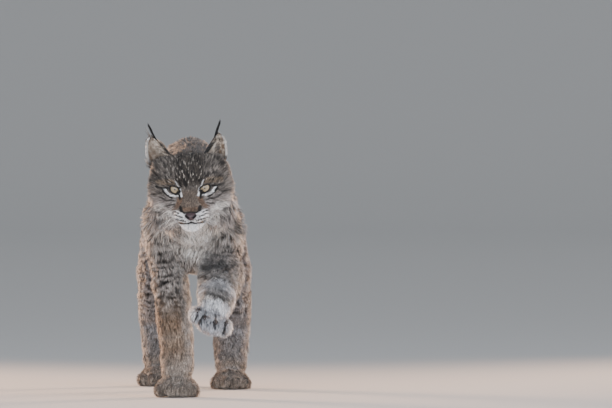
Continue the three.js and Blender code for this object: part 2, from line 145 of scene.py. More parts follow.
def spots(points: Array, along: Array, cell: float, size: tuple[float, float], seed: int) -> Array:
    """Scattered dark spots, each drawn out along or across the lie of the coat.

    Args:
        points: Places in millimetres.
        along: The lie of the coat at each place.
        cell: Mean distance between spots.
        size: Half length along the lie, and half width across it.
        seed: Picks the pattern.

    Returns:
        1 inside a spot and 0 outside, with soft edges.
    """
    base = np.floor(points / cell)
    nearest = np.full(len(points), 9.0)
    for offset in np.ndindex(3, 3, 3):
        where = base + np.array(offset) - 1
        place = np.stack([hashed(where, seed + k) for k in range(3)], axis=1)
        gap = points - (where + 0.15 + 0.7 * place) * cell
        scale = 0.7 + 0.6 * hashed(where, seed + 5)
        down = dots(gap, along)
        off = np.sqrt(np.maximum(dots(gap, gap) - down**2, 0))
        reach = np.sqrt((down / size[0]) ** 2 + (off / size[1]) ** 2) / scale
        nearest = np.minimum(nearest, reach)
    return 1 - ramp(nearest, 0.72, 1.08)


def nearest_seed(points: Array, cell: float, seed: int) -> tuple[Array, Array]:
    """Finds the nearest of many scattered seeds.

    Args:
        points: Places in millimetres.
        cell: Mean distance between seeds.
        seed: Picks the pattern.

    Returns:
        The way to the nearest seed, and that seed's own value from 0 to 1.
    """
    base = np.floor(points / cell)
    best = np.full(len(points), 1e9)
    way = np.zeros_like(points)
    own = np.zeros(len(points))
    for offset in np.ndindex(3, 3, 3):
        where = base + np.array(offset) - 1
        place = np.stack([hashed(where, seed + k) for k in range(3)], axis=1)
        gap = (where + 0.1 + 0.8 * place) * cell - points
        far = dots(gap, gap)
        closer = far < best
        best = np.where(closer, far, best)
        way = np.where(closer[:, None], gap, way)
        own = np.where(closer, hashed(where, seed + 4), own)
    return way, own


def from_bar(points: Array, start: Sequence[float], end: Sequence[float]) -> tuple[Array, Array]:
    """Finds the nearest place on a straight bar.

    Args:
        points: Places, in two or three dimensions.
        start: One end of the bar.
        end: Its other end.

    Returns:
        How far along the bar it is, from 0 to 1, and the way from it to each place.
    """
    a, b = np.array(start, float), np.array(end, float)
    run = b - a
    t = np.clip(((points - a) @ run) / (run @ run), 0, 1)
    return t, points - a - t[:, None] * run


def stroke(points: Array, line: Sequence[tuple[float, float]], half_width: float) -> Array:
    """A soft painted line.

    Args:
        points: Flat places, two to a row.
        line: The corners of the line.
        half_width: Half its width.

    Returns:
        1 on the line and 0 away from it.
    """
    nearest = np.full(len(points), 1e9)
    for start, end in zip(line, line[1:]):
        _, way = from_bar(points, start, end)
        nearest = np.minimum(nearest, np.linalg.norm(way, axis=1))
    return 1 - ramp(nearest, half_width * 0.7, half_width * 1.2)


def mesh_object(name: str, bm: bmesh.types.BMesh) -> bpy.types.Object:
    """Makes a smooth shaded object from a bmesh, which is used up.

    Args:
        name: Name of the object and its mesh.
        bm: The shape, in metres.

    Returns:
        The object, linked to the scene.
    """
    mesh = bpy.data.meshes.new(name)
    bm.to_mesh(mesh)
    bm.free()
    mesh.shade_smooth()
    made = bpy.data.objects.new(name, mesh)
    bpy.context.scene.collection.objects.link(made)
    return made


def vertex_places(mesh: bpy.types.Mesh) -> Array:
    """Reads the places of a mesh's vertices.

    Args:
        mesh: The mesh.

    Returns:
        Places in metres, three to a row.
    """
    places = np.empty(len(mesh.vertices) * 3)
    mesh.vertices.foreach_get("co", places)
    return places.reshape(-1, 3)


def set_places(mesh: bpy.types.Mesh, places: Array) -> None:
    """Moves a mesh's vertices."""
    mesh.vertices.foreach_set("co", places.ravel())
    mesh.update()


def vertex_normals(mesh: bpy.types.Mesh) -> Array:
    """Reads the outward directions at a mesh's vertices.

    Args:
        mesh: The mesh.

    Returns:
        Unit directions, three to a row.
    """
    normals = np.empty(len(mesh.vertices) * 3)
    mesh.vertex_normals.foreach_get("vector", normals)
    return normals.reshape(-1, 3)


def paint(mesh: bpy.types.Mesh, colours: Array) -> None:
    """Stores a linear colour at each vertex, as the attribute that the coat's finish reads.

    Args:
        mesh: The mesh.
        colours: Linear colours, three to a row.
    """
    layer = mesh.attributes.new("coat", "FLOAT_COLOR", "POINT")
    rgba = np.ones((len(colours), 4), np.float32)
    rgba[:, :3] = np.clip(colours, 0, 1)
    layer.data.foreach_set("color", rgba.ravel())


def worn(made: bpy.types.Object, modifier: str, **settings: object) -> None:
    """Puts a modifier on an object and makes its result the object's mesh.

    Args:
        made: The object.
        modifier: Blender's name for the modifier.
        settings: Its settings.
    """
    added = made.modifiers.new(modifier.title(), modifier)
    for key, value in settings.items():
        setattr(added, key, value)
    graph = bpy.context.evaluated_depsgraph_get()
    mesh = bpy.data.meshes.new_from_object(made.evaluated_get(graph))
    made.modifiers.clear()
    old = made.data
    made.data = mesh
    bpy.data.meshes.remove(old)


# Anatomy


@dataclass(frozen=True)
class Hair:
    """How the coat grows on one part of the body, in millimetres.

    Attributes:
        depth: How far the skin lies inside the outside of the coat.
        length: Length of a tuft.
        width: Width of a tuft.
        density: Tufts on a square centimetre.
    """

    depth: float
    length: float
    width: float
    density: float

    def row(self) -> Array:
        """Returns the four values in a row."""
        return np.array([self.depth, self.length, self.width, self.density])


class Patch(Enum):
    """The parts that the coat is divided into, each one piece of the model."""

    HEAD = "head"
    EARS = "ears"
    NECK = "neck"
    TRUNK = "trunk"
    ARM_RIGHT = "foreleg_right"
    ARM_LEFT = "foreleg_left"
    LEG_RIGHT = "hindleg_right"
    LEG_LEFT = "hindleg_left"
    TAIL = "tail"


@dataclass(frozen=True)
class Bone:
    """A stretch of the body: a tapered bar with the lie of the coat on it.

    Attributes:
        patch: The part of the coat that it belongs to.
        start: Its first end, in millimetres.
        end: Its other end.
        radii: Radius at each end.
        hair: How the coat grows on it.
        lie: The direction of the coat, or None for along the bar.
        foot: How much of a foot it is, from 0 to 1.
    """

    patch: Patch
    start: tuple[float, float, float]
    end: tuple[float, float, float]
    radii: tuple[float, float]
    hair: Hair
    lie: tuple[float, float, float] | None = None
    foot: float = 0.0


NECK_HAIR = Hair(16, 44, 1.9, 20)
TRUNK_HAIR = Hair(17, 40, 2.0, 17)
THIGH_HAIR = Hair(10, 20, 1.45, 30)
SHANK_HAIR = Hair(7, 13.5, 1.25, 40)
FOOT_HAIR = Hair(5, 13, 1.2, 40)
PAW_HAIR = Hair(6, 17, 1.2, 42)
TAIL_HAIR = Hair(10, 28, 1.7, 28)
FACE_HAIR = Hair(3.4, 6.5, 0.9, 80)
LIP_HAIR = Hair(2.2, 3.2, 0.8, 90)
CROWN_HAIR = Hair(7.5, 17, 1.2, 48)
CHEEK_HAIR = Hair(8, 20, 1.2, 46)
RUFF_HAIR = Hair(12, 46, 1.5, 40)
CHIN_HAIR = Hair(8, 26, 1.4, 40)
EAR_SHEET_HAIR = Hair(1.5, 7, 1.0, 64)

BONES = (
    Bone(Patch.NECK, (-10, -222, 452), (-4, -70, 437), (72, 96), NECK_HAIR, (0, 0.8, -0.6)),
    Bone(Patch.TRUNK, (-4, -30, 425), (-9, 130, 412), (108, 118), TRUNK_HAIR, (0, 1, -0.35)),
    Bone(Patch.TRUNK, (-9, 130, 412), (-20, 470, 448), (118, 104), TRUNK_HAIR, (0, 1, -0.3)),
    Bone(Patch.ARM_RIGHT, (-78, -22, 400), (-68, 0, 290), (46, 44), THIGH_HAIR),
    Bone(Patch.ARM_RIGHT, (-68, 0, 290), (-46, -26, 120), (43, 36), SHANK_HAIR),
    Bone(Patch.ARM_RIGHT, (-44, -32, 105), (-43, -52, 42), (35, 30), FOOT_HAIR, None, 0.5),
    Bone(Patch.ARM_RIGHT, (-43, -56, 26), (-43, -108, 16), (32, 26), FOOT_HAIR, (0, -0.8, -0.6), 1.0),
    Bone(Patch.ARM_LEFT, (58, -48, 400), (58, -48, 300), (46, 49), THIGH_HAIR),
    Bone(Patch.ARM_LEFT, (56, -60, 285), (48, -180, 220), (49, 42), SHANK_HAIR, (-0.1, -0.4, -1)),
    Bone(Patch.ARM_LEFT, (46, -190, 212), (39, -223, 183), (38, 31), PAW_HAIR, (-0.2, -0.4, -1), 0.5),
    Bone(Patch.ARM_LEFT, (37, -228, 178), (25, -274, 158), (34, 26), PAW_HAIR, (-0.2, -0.5, -0.8), 1.0),
    Bone(Patch.LEG_RIGHT, (-78, 440, 440), (-98, 406, 310), (52, 53), THIGH_HAIR, (0, 0.45, -1)),
    Bone(Patch.LEG_RIGHT, (-100, 408, 300), (-101, 520, 165), (50, 35), SHANK_HAIR),
    Bone(Patch.LEG_RIGHT, (-100, 530, 145), (-98, 505, 55), (32, 31), SHANK_HAIR, None, 0.3),
    Bone(Patch.LEG_RIGHT, (-98, 490, 26), (-98, 440, 16), (30, 24), FOOT_HAIR, (0, -0.8, -0.6), 1.0),
    Bone(Patch.LEG_LEFT, (42, 420, 440), (67, 342, 312), (52, 54), THIGH_HAIR, (0, 0.3, -1)),
    Bone(Patch.LEG_LEFT, (70, 336, 300), (74, 384, 165), (50, 38), SHANK_HAIR),
    Bone(Patch.LEG_LEFT, (73, 392, 142), (70, 350, 55), (36, 33), SHANK_HAIR, None, 0.3),
    Bone(Patch.LEG_LEFT, (70, 334, 26), (70, 284, 16), (30, 24), FOOT_HAIR, (0, -0.8, -0.6), 1.0),
    Bone(Patch.TAIL, (-20, 552, 480), (-23, 602, 410), (29, 32), TAIL_HAIR),
    Bone(Patch.TAIL, (-23, 602, 410), (-26, 610, 345), (32, 22), TAIL_HAIR),
)


@dataclass(frozen=True)
class Head:
    """The head's own frame: +l to the animal's left, +f ahead, +u up, from between the eyes.

    Attributes:
        pitch: Degrees that the nose points down.
        roll: Degrees that the crown leans to the animal's right.
        design_eyes: The point between the eyes, in the body's millimetres.
        eye_setback: How far the eyeballs' centres lie behind that point.
    """

    pitch: float = 17.0
    roll: float = 3.0
    design_eyes: tuple[float, float, float] = (-10.6, -290.0, 458.0)
    eye_setback: float = 5.0

    def axes(self) -> Array:
        """The axes of the frame.

        Returns:
            Rows: left, ahead and up.
        """
        pitch, roll = math.radians(self.pitch), math.radians(self.roll)
        ahead = Vector((0, -math.cos(pitch), -math.sin(pitch)))
        up = Vector((0, -math.sin(pitch), math.cos(pitch)))
        up.rotate(Matrix.Rotation(roll, 3, ahead))
        left = up.cross(ahead)
        return np.array([left, ahead, up])

    def to_local(self, points: Array) -> Array:
        """Turns the body's millimetres into the head's."""
        return (points - np.array(self.design_eyes)) @ self.axes().T

    def to_body(self, local: Array) -> Array:
        """Turns the head's millimetres into the body's."""
        return np.asarray(local) @ self.axes() + np.array(self.design_eyes)

    def turn_to_body(self, local: Array) -> Array:
        """Turns directions in the head's frame into the body's."""
        return np.asarray(local) @ self.axes()

    def seen(self, local: Array) -> Array:
        """Flattens places to how they show from ahead.

        Args:
            local: Places in the head's millimetres.

        Returns:
            Distance to the side, and height.
        """
        pitch = math.radians(self.pitch)
        high = local[:, 2] * math.cos(pitch) - local[:, 1] * math.sin(pitch)
        return np.column_stack([np.abs(local[:, 0]), high])


# The skull as a tapered bar, and the middle of the nose, in the head's millimetres
SKULL = ((0, -42, -8), (0, 34, -44))
SKULL_RADII = (62, 28)
NOSE_CENTRE = (0.0, 57.0, -44.0)
# Where the lips meet, as it shows from ahead
MOUTH_LINE = ((0, -71.5), (7, -73.5), (17, -73.5), (27, -70), (36, -63))


class Side(Enum):
    """The animal's own sides."""

    RIGHT = -1
    LEFT = 1


class Body:
    """Where things are on the animal: its frame, its bones and the lie of its coat."""

    def __init__(self) -> None:
        """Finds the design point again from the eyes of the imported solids."""
        self.head = Head()
        eyes = [sum(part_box(f"eye_{s.name.lower()}"), Vector()) / 2 for s in Side]
        found = np.array((eyes[0] + eyes[1]) / 2) / MM
        design = self.head.to_body(np.array([0.0, -self.head.eye_setback, 0.0]))
        self.shift = found - design
        self.patches = list(Patch)

    def to_body(self, metres: Array) -> Array:
        """Turns scene metres into the body's millimetres."""
        return metres / MM - self.shift

    def to_scene(self, millimetres: Array) -> Array:
        """Turns the body's millimetres into scene metres."""
        return (np.asarray(millimetres) + self.shift) * MM

    def head_to_scene(self, local: Array) -> Array:
        """Turns the head's millimetres into scene metres."""
        return self.to_scene(self.head.to_body(local))

    def weights(self, points: Array) -> Array:
        """Shares each place out among the bones.

        Args:
            points: Places in the body's millimetres.

        Returns:
            A row for each place, which sums to one. The head's share comes last.
        """
        gaps = []
        for bone in BONES:
            t, way = from_bar(points, bone.start, bone.end)
            radius = bone.radii[0] + t * (bone.radii[1] - bone.radii[0])
            gaps.append(np.linalg.norm(way, axis=1) - radius)
        local = self.head.to_local(points)
        t, way = from_bar(local, *SKULL)
        radius = SKULL_RADII[0] + t * (SKULL_RADII[1] - SKULL_RADII[0])
        gaps.append(np.linalg.norm(way * [0.85, 1, 1], axis=1) - radius)
        share = 1 / (np.abs(np.stack(gaps, axis=1)) + 5) ** 3
        ahead_of_neck = ramp(local[:, 1], -98, -74) > 0.5
        share[:, -1] *= np.where(ahead_of_neck, 60, 0.02)
        return share / share.sum(axis=1, keepdims=True)

    def lie(self, points: Array, normals: Array, weights: Array) -> Array:
        """The direction that the coat lies in, along the skin.

        Args:
            points: Places in the body's millimetres.
            normals: The skin's outward directions there.
            weights: What `weights` gives for them.

        Returns:
            Unit directions.
        """
        flows = []
        for bone in BONES:
            along = np.array(bone.lie if bone.lie else np.subtract(bone.end, bone.start), float)
            flows.append(unit(along))
        flow = weights[:, :-1] @ np.array(flows)
        local = self.head.to_local(points)
        away = unit(local - np.array([0, 66, -36.0]))
        ruff = self.ruff_share(local)
        hang = np.stack([0.42 * np.sign(local[:, 0]), np.full(len(local), -0.4), -np.ones(len(local))], 1)
        low = ramp(local[:, 2], -56, -72)
        chin = np.array([0, -0.6, -0.8])
        own = mix(mix(away, unit(hang), ruff), chin, low * (1 - ruff))
        flow = flow + weights[:, -1:] * self.head.turn_to_body(own)
        flow = flow - dots(flow, normals)[:, None] * normals
        return unit(flow)

    @staticmethod
    def ruff_share(local: Array) -> Array:
        """How much of the ruff is at places in the head's frame, from 0 to 1."""
        side = ramp(np.abs(local[:, 0]), 30, 52)
        return side * ramp(local[:, 1], 2, -26) * ramp(local[:, 2], 0, -34)

    def hair(self, points: Array, weights: Array) -> Array:
        """How the coat grows at places on the body.

        Args:
            points: Places in the body's millimetres.
            weights: What `weights` gives for them.

        Returns:
            Rows of depth, length, width and density.
        """
        rows = np.array([bone.hair.row() for bone in BONES])
        local = self.head.to_local(points)
        own = np.tile(FACE_HAIR.row(), (len(points), 1))
        own = mix(own, CROWN_HAIR.row(), ramp(local[:, 2] - 0.3 * local[:, 1], 18, 58))
        cheek = ramp(np.abs(local[:, 0]), 42, 66) * ramp(local[:, 1], 12, -20)
        own = mix(own, CHEEK_HAIR.row(), cheek)
        own = mix(own, RUFF_HAIR.row(), self.ruff_share(local))
        under = ramp(local[:, 2], -66, -84) * ramp(local[:, 1], 30, 0)
        own = mix(own, CHIN_HAIR.row(), under)
        lips = stroke(self.head.seen(local), MOUTH_LINE, 6.5) * ramp(local[:, 1], 4, 16)
        own = mix(own, LIP_HAIR.row(), lips)
        return weights[:, :-1] @ rows + weights[:, -1:] * own

    def patch_of(self, weights: Array) -> Array:
        """Finds the patch of coat that each place belongs to.

        Args:
            weights: What `weights` gives for the places.

        Returns:
            The patches' numbers.
        """
        totals = np.zeros((len(weights), len(self.patches)))
        for i, bone in enumerate(BONES):
            totals[:, self.patches.index(bone.patch)] += weights[:, i]
        totals[:, self.patches.index(Patch.HEAD)] += weights[:, -1]
        return totals.argmax(axis=1)


# Ears and lids, in the head's frame


@dataclass(frozen=True)
class Ear:
    """One ear: a cupped sheet that opens ahead, in the head's millimetres.

    Attributes:
        side: Which ear.
        lean: How far both tips stand towards the animal's right.
        open_to: The way that the cup opens.
    """

    side: Side
    lean: float = 6.0
    open_to: tuple[float, float, float] = (0.3, 1.0, 0.1)

    @property
    def root(self) -> tuple[float, float, float]:
        """The middle of its foot, inside the head, mirrored to the left."""
        return 49.0 - 0.5 * self.lean * self.side.value, -62.0, 20.0

    @property
    def tip(self) -> tuple[float, float, float]:
        """Its point, mirrored to the left."""
        return 69.0 - self.lean * self.side.value, -76.0, 98.5

    def axes(self) -> tuple[Array, Array, Array, float]:
        """The ear's own directions.

        Returns:
            Up, ahead and across, and the ear's length.
        """
        run = np.subtract(self.tip, self.root)
        length = float(np.linalg.norm(run))
        up = run / length
        ahead = np.array(self.open_to)
        ahead = unit(ahead - (ahead @ up) * up)
        return up, ahead, np.cross(ahead, up), length

    def reach(self, v: Array) -> tuple[Array, Array]:
        """The ear's widths.

        Args:
            v: Heights from 0 at the foot to 1 at the tip.

        Returns:
            Widths inwards and outwards.
        """
        v = np.clip(v, 0, 1)
        inner = 39 * (1 - v) ** 0.85 + 1.5
        outer = (18 + 13 * ramp(v, 0, 0.5) - 14 * v * v) * np.sqrt(1 - v**5) + 1.5
        return inner, outer

    @staticmethod
    def sheet(u: Array, v: Array) -> Array:
        """Returns how far ahead of the ear's foot the inside of the cup lies."""
        return 8 - (26 - 22 * np.clip(v, 0, 1)) * (1 - np.clip(u, -1, 1) ** 2)

    def surface(self, u: Array, v: Array, back: float | Array) -> Array:
        """Places on the sheet.

        Args:
            u: From -1 at the inner edge to 1 at the outer edge.
            v: From 0 at the foot to 1 at the tip.
            back: 0 for the inside of the cup and 1 for the back.

        Returns:
            Places in the head's millimetres.
        """
        up, ahead, across, length = self.axes()
        inner, outer = self.reach(v)
        width = np.where(u < 0, inner, outer)
        thick = 1.1 + back * ((5.5 - 3.5 * v) * (1 - 0.6 * u * u) - 2.2)
        place = np.array(self.root) + (u * width)[:, None] * across
        place = place + (v * length)[:, None] * up + (self.sheet(u, v) - thick)[:, None] * ahead
        return place * [self.side.value, 1, 1]

    def coordinates(self, local: Array) -> tuple[Array, Array, Array]:
        """Finds where places are on the sheet.

        Args:
            local: Places in the head's millimetres.

        Returns:
            u and v, and the distance ahead of the inside of the cup.
        """
        up, ahead, across, length = self.axes()
        gap = local * [self.side.value, 1, 1] - np.array(self.root)
        v = gap @ up / length
        inner, outer = self.reach(v)
        off = gap @ across
        u = off / np.where(off < 0, inner, outer)
        return u, v, gap @ ahead - self.sheet(u, v)

    def build(self, bm: bmesh.types.BMesh, body: Body) -> None:
        """Adds the ear's two sheets and its edge to a bmesh, in scene metres.

        Both sheets keep the grid's own facing, so one of the two faces into the ear.

        Args:
            bm: The bmesh that is added to.
            body: Gives the frames.
        """
        columns, rows = 22, 20
        sheets = []
        for back in (0.0, 1.0):
            made = bmesh.ops.create_grid(bm, x_segments=columns, y_segments=rows, size=1)["verts"]
            flat = np.array([v.co for v in made])
            local = self.surface(flat[:, 0], flat[:, 1] / 2 + 0.5, back)
            for vert, place in zip(made, body.head_to_scene(local)):
                vert.co = place
            sheets.append(made)
        edges = [e for s in sheets for v in s for e in v.link_edges if e.is_boundary]
        bmesh.ops.bridge_loops(bm, edges=list(set(edges)))


@dataclass(frozen=True)
class EyeSocket:
    """The opening between the lids of one eye, in the head's millimetres.

    Attributes:
        side: Which eye.
        spread: How far from the middle its centre is.
        setback: How far behind the point between the eyes.
        radius: The eyeball's radius.
        half: Half width and half height of the opening.
        slant: Degrees that the outer corner is raised.
        lift: How far the opening stands above the eyeball's middle.
    """

    side: Side
    spread: float = 31.0
    setback: float = 5.0
    radius: float = 15.0
    half: tuple[float, float] = (12.5, 8.2)
    slant: float = 22.0
    lift: float = 3.0

    def centre(self) -> Array:
        """Returns the eyeball's centre."""
        return np.array([self.side.value * self.spread, -self.setback, 0.0])

    def axes(self) -> Array:
        """The eye's own directions.

        Returns:
            Rows: across towards the outer corner, up, and the gaze.
        """
        s = self.side.value
        gaze = unit(np.array([s * 0.16, 1, -0.05]))
        tilt = math.radians(self.slant)
        across = np.array([s * math.cos(tilt), 0, math.sin(tilt)])
        across = unit(across - (across @ gaze) * gaze)
        up = np.array([-s * math.sin(tilt), 0, math.cos(tilt)])
        up = up - (up @ gaze) * gaze - (up @ across) * across
        return np.array([across, unit(up), gaze])

    def rim(self, angles: Array) -> Array:
        """The edge of the lids.

        Args:
            angles: Angles round the eye.

        Returns:
            Flat places, across and up.
        """
        s = np.sin(angles)
        inner = np.where(np.cos(angles) < 0, 1.05, 1.0)
        high = np.sign(s) * np.abs(s) ** 1.2 * self.half[1] * np.where(s > 0, 0.68, 0.98)
        return np.stack([np.cos(angles) * self.half[0] * inner, high + self.lift], axis=1)

    def on_ball(self, flat: Array, radius: float) -> Array:
        """Lifts flat places across and up onto a ball about the eye."""
        deep = np.sqrt(np.maximum(radius**2 - dots(flat, flat), 0.01))
        return self.centre() + np.column_stack([flat, deep]) @ self.axes()

    def measure(self, local: Array) -> tuple[Array, Array]:
        """Tells how far places are from the rim of the lids.

        Args:
            local: Places in the head's millimetres.

        Returns:
            Distance outside the rim, in millimetres, and the flat places across and up.
        """
        flat = (local - self.centre()) @ self.axes().T
        middle = np.array([0, self.lift])
        spread = flat[:, :2] - middle
        angle = np.arctan2(spread[:, 1] / self.half[1], spread[:, 0] / self.half[0])
        edge = self.rim(angle) - middle
        out = np.linalg.norm(spread, axis=1) - np.linalg.norm(edge, axis=1)
        return np.where(flat[:, 2] > 0, out, 40.0), flat[:, :2]

    def build_lids(self, bm: bmesh.types.BMesh, body: Body) -> None:
        """Adds both lids, from their rim to inside the face, in scene metres.

        Args:
            bm: The bmesh that is added to.
            body: Gives the frames.
        """
        around, steps, deepest = 72, 11, math.radians(84)
        made = bmesh.ops.create_grid(bm, x_segments=around, y_segments=steps, size=1)["verts"]
        flat = np.array([v.co for v in made])
        angles = flat[:, 0] * math.pi
        t = flat[:, 1] / 2 + 0.5
        edge = self.rim(angles)
        start = np.arcsin(np.clip(np.linalg.norm(edge, axis=1) / (self.radius + 0.3), 0, 0.97))
        tilt = start + (deepest - start) * t
        reach = self.radius + 0.25 + 2.0 * ramp(t, 0, 0.16) - 0.9 * ramp(t, 0.3, 0.9)
        round_ = unit(edge)
        ray = np.column_stack([round_ * np.sin(tilt)[:, None], np.cos(tilt)]) @ self.axes()
        places = body.head_to_scene(self.centre() + ray * reach[:, None])
        for vert, place in zip(made, places):
            vert.co = place
        faces = {f for v in made for f in v.link_faces}
        bmesh.ops.remove_doubles(bm, verts=made, dist=1e-5)
        if self.side is Side.RIGHT:
            # Turned to match the other side: both pairs of lids face the eyeball
            bmesh.ops.reverse_faces(bm, faces=[f for f in faces if f.is_valid])


# Colours of the coat


# Bars on the raised forearm: corners across and up in the body's millimetres, and half width
RAISED_BARS = (
    (((22, 277), (45, 281), (67, 275)), 6.0),
    (((14, 260), (38, 262), (62, 255)), 3.4),
    (((34, 250), (58, 245), (76, 232)), 3.6),
    (((16, 241), (40, 239), (66, 229)), 3.2),
    (((14, 228), (36, 226), (62, 215)), 3.2),
)


class Tint(Enum):
    """Colours of the winter coat, judged one by one, in sRGB."""

    BACK = "#423b36"
    FLANK = "#9d9792"
    BELLY = "#bab7b3"
    CHEST = "#d3cbc0"
    STRIP = "#fbf8f2"
    SPOT = "#0f0c0a"
    BAR = "#100c0a"
    HIND = "#7c7e84"
    OCHRE = "#7e664e"
    FOOT = "#978c81"
    PALE_FOOT = "#d6d7db"
    SOLE = "#989aa2"
    TOE_GAP_FUR_AND_SHADE = "#18181d"
    NAPE = "#2a2420"
    CROWN = "#39332e"
    CROWN_DARK = "#0e0b0a"
    FLECK = "#b5aca2"
    TEMPLE = "#6a635d"
    TAN = "#7f6e5b"
    CHEEK = "#948e8a"
    BRIDGE = "#685c52"
    RUST = "#664b36"
    WHITE = "#ffffff"
    CREAM = "#dad7d2"
    BLACK = "#0d0b0a"
    EAR_INSIDE = "#7e6a58"
    EAR_HAIR = "#eadccb"

    @property
    def light(self) -> Array:
        """The colour in linear light."""
        return linear(self.value)


class Markings:
    """Works out the colour of the coat anywhere on the animal, from its place alone."""

    def __init__(self, body: Body) -> None:
        """Keeps the body and its eyes and ears.

        Args:
            body: Gives the frames.
        """
        self.body = body
        self.sockets = [EyeSocket(side) for side in Side]
        self.ears = [Ear(side) for side in Side]

    def colours(self, points: Array, normals: Array, lie: Array, weights: Array) -> Array:
        """Colours of the coat, with painted shadow under the chin.

        Args:
            points: Places in the body's millimetres.
            normals: Outward directions there.
            lie: The lie of the coat.
            weights: Shares of the bones.

        Returns:
            Linear colours, three to a row.
        """
        trunk = self.trunk(points, normals, lie, weights)
        local = self.body.head.to_local(points)
        head = self.face(points, local, lie)
        share = ramp(weights[:, -1], 0.35, 0.65)
        # Painted shadow: a dark arc under the chin, where the head shades the throat
        under_chin_shadow = stroke(self.body.head.seen(local), ((0, -98), (14, -97), (24, -93), (33, -84)), 3.0)
        under_chin_shadow = under_chin_shadow * ramp(local[:, 1], -120, -90)
        return mix(mix(trunk, head, share), Tint.CROWN_DARK.light, 0.7 * under_chin_shadow)

    def trunk(self, points: Array, normals: Array, lie: Array, weights: Array) -> Array:
        """Colours behind the head: grey-brown, spotted, paler below and inside the legs.

        Args:
            points: Places in the body's millimetres.
            normals: Outward directions there.
            lie: The lie of the coat.
            weights: Shares of the bones.

        Returns:
            Linear colours.
        """
        x, y, z = points.T
        limb = sum(weights[:, i] for i, b in enumerate(BONES) if "leg" in b.patch.value)
        raised = sum(weights[:, i] for i, b in enumerate(BONES) if b.patch is Patch.ARM_LEFT)
        foot = sum(weights[:, i] * b.foot for i, b in enumerate(BONES))
        tail = sum(weights[:, i] for i, b in enumerate(BONES) if b.patch is Patch.TAIL)
        back = ramp(normals[:, 2], -0.3, 0.45) * (1 - limb)
        tone = mix(np.tile(Tint.FLANK.light, (len(points), 1)), Tint.BACK.light, 0.85 * back)
        middle = -3 - 0.03 * (y + 60)
        under = ramp(normals[:, 2], -0.3, -0.8) * (1 - limb) * (1 - tail)
        breast = ramp(y, 70, 10) * ramp(normals[:, 1], 0.25, -0.3) * (1 - limb)
        tone = mix(tone, Tint.CHEST.light, 0.75 * breast)
        tone = mix(tone, Tint.BELLY.light, under)
        strip = ramp(np.abs(x - middle), 33, 19) * np.maximum(breast, under)
        tone = mix(tone, Tint.STRIP.light, 0.95 * strip * ramp(z, 410, 385))
        inward = ramp(-np.sign(x - middle) * normals[:, 0], 0.15, 0.8) * limb
        tone = mix(tone, Tint.BELLY.light, 0.85 * inward * (1 - foot))
        hind = limb * ramp(y, 200, 260)
        tone = mix(tone, Tint.BELLY.light, 0.55 * hind * ramp(normals[:, 1], 0.1, -0.6) * (1 - foot))
        tone = mix(tone, Tint.HIND.light, 0.7 * hind)
        nape = ramp(normals[:, 2], -0.1, 0.4) * ramp(y, 260, 120) * (1 - limb)
        tone = mix(tone, Tint.NAPE.light, 0.95 * nape)
        streaks = spots(points, lie, 15, (13, 3.2), SEED + 80)
        tone = mix(tone, Tint.CROWN_DARK.light, 0.8 * streaks * np.maximum(nape, 0.6 * back))
        clear = (1 - 0.9 * under) * (1 - 0.8 * inward) * (1 - strip)
        flank = spots(points, lie, 32, (12, 9.5), SEED) * clear * (1 - limb) * (1 - 0.75 * breast)
        tone = mix(tone, Tint.SPOT.light, 0.92 * flank * (1 - 0.3 * back) * (1 - nape))
        across = spots(points, lie, 28, (5.5, 13), SEED + 30) * breast * (1 - strip)
        tone = mix(tone, Tint.BAR.light, 0.85 * across)
        upper = limb * (1 - foot) * clear
        bars = spots(points, lie, 17, (3.6, 9.5), SEED + 20) * ramp(z, 130, 215)
        tone = mix(tone, Tint.BAR.light, 0.98 * bars * upper)
        fore = ramp(y, 120, 60) * ramp(z, 150, 200) * ramp(z, 345, 315)
        tone = mix(tone, Tint.BAR.light, 0.9 * self.arcs(points) * fore * upper)
        tone = mix(tone, Tint.BELLY.light, 0.5 * raised * (1 - foot) * ramp(z, 275, 262))
        tone = mix(tone, Tint.BAR.light, self.raised_bars(points) * ramp(raised, 0.3, 0.6) * (1 - foot))
        flecks = spots(points, lie, 10, (2.6, 4.4), SEED + 40) * ramp(z, 110, 170) * ramp(z, 330, 250)
        tone = mix(tone, Tint.BAR.light, 0.85 * flecks * upper)
        low = ramp(z, 235, 150) * limb * (1 - 0.8 * inward)
        tone = mix(tone, Tint.OCHRE.light, 0.8 * low * (1 - raised) * ramp(foot, 0.9, 0.3) * (1 - hind))
        tone = mix(tone, Tint.FOOT.light, foot * (1 - raised))
        tone = self.lifted_foot(points, tone, foot * raised)
        tip = ramp(z, 402, 388) * tail
        return mix(tone, Tint.BLACK.light, tip)

    @staticmethod
    def arcs(points: Array) -> Array:
        """Broken dark arcs across the forelegs.

        Args:
            points: Places in the body's millimetres.

        Returns:
            How dark they are, from 0 to 1.
        """
        shaken = points[:, 2] + 9 * cloud(points, 24, SEED + 90) + 4 * cloud(points, 8, SEED + 91)
        bands = ramp(np.sin(shaken * 2 * math.pi / 11.5), 0.2, 0.6)
        return bands * ramp(cloud(points, 11, SEED + 92), 0.42, 0.54)

    @staticmethod
    def raised_bars(points: Array) -> Array:
        """The dark bars across the raised forearm, as they show from ahead.

        Args:
            points: Places in the body's millimetres.

        Returns:
            How dark they are, from 0 to 1.
        """
        flat = points[:, [0, 2]]
        dark = np.zeros(len(points))
        for line, half_width in RAISED_BARS:
            dark = np.maximum(dark, stroke(flat, line, half_width))
        broken = ramp(cloud(points, 9, SEED + 93), 0.2, 0.34)
        return dark * np.maximum(broken, 0.85 * ramp(points[:, 2], 266, 270)) * ramp(points[:, 1], -40, -60)

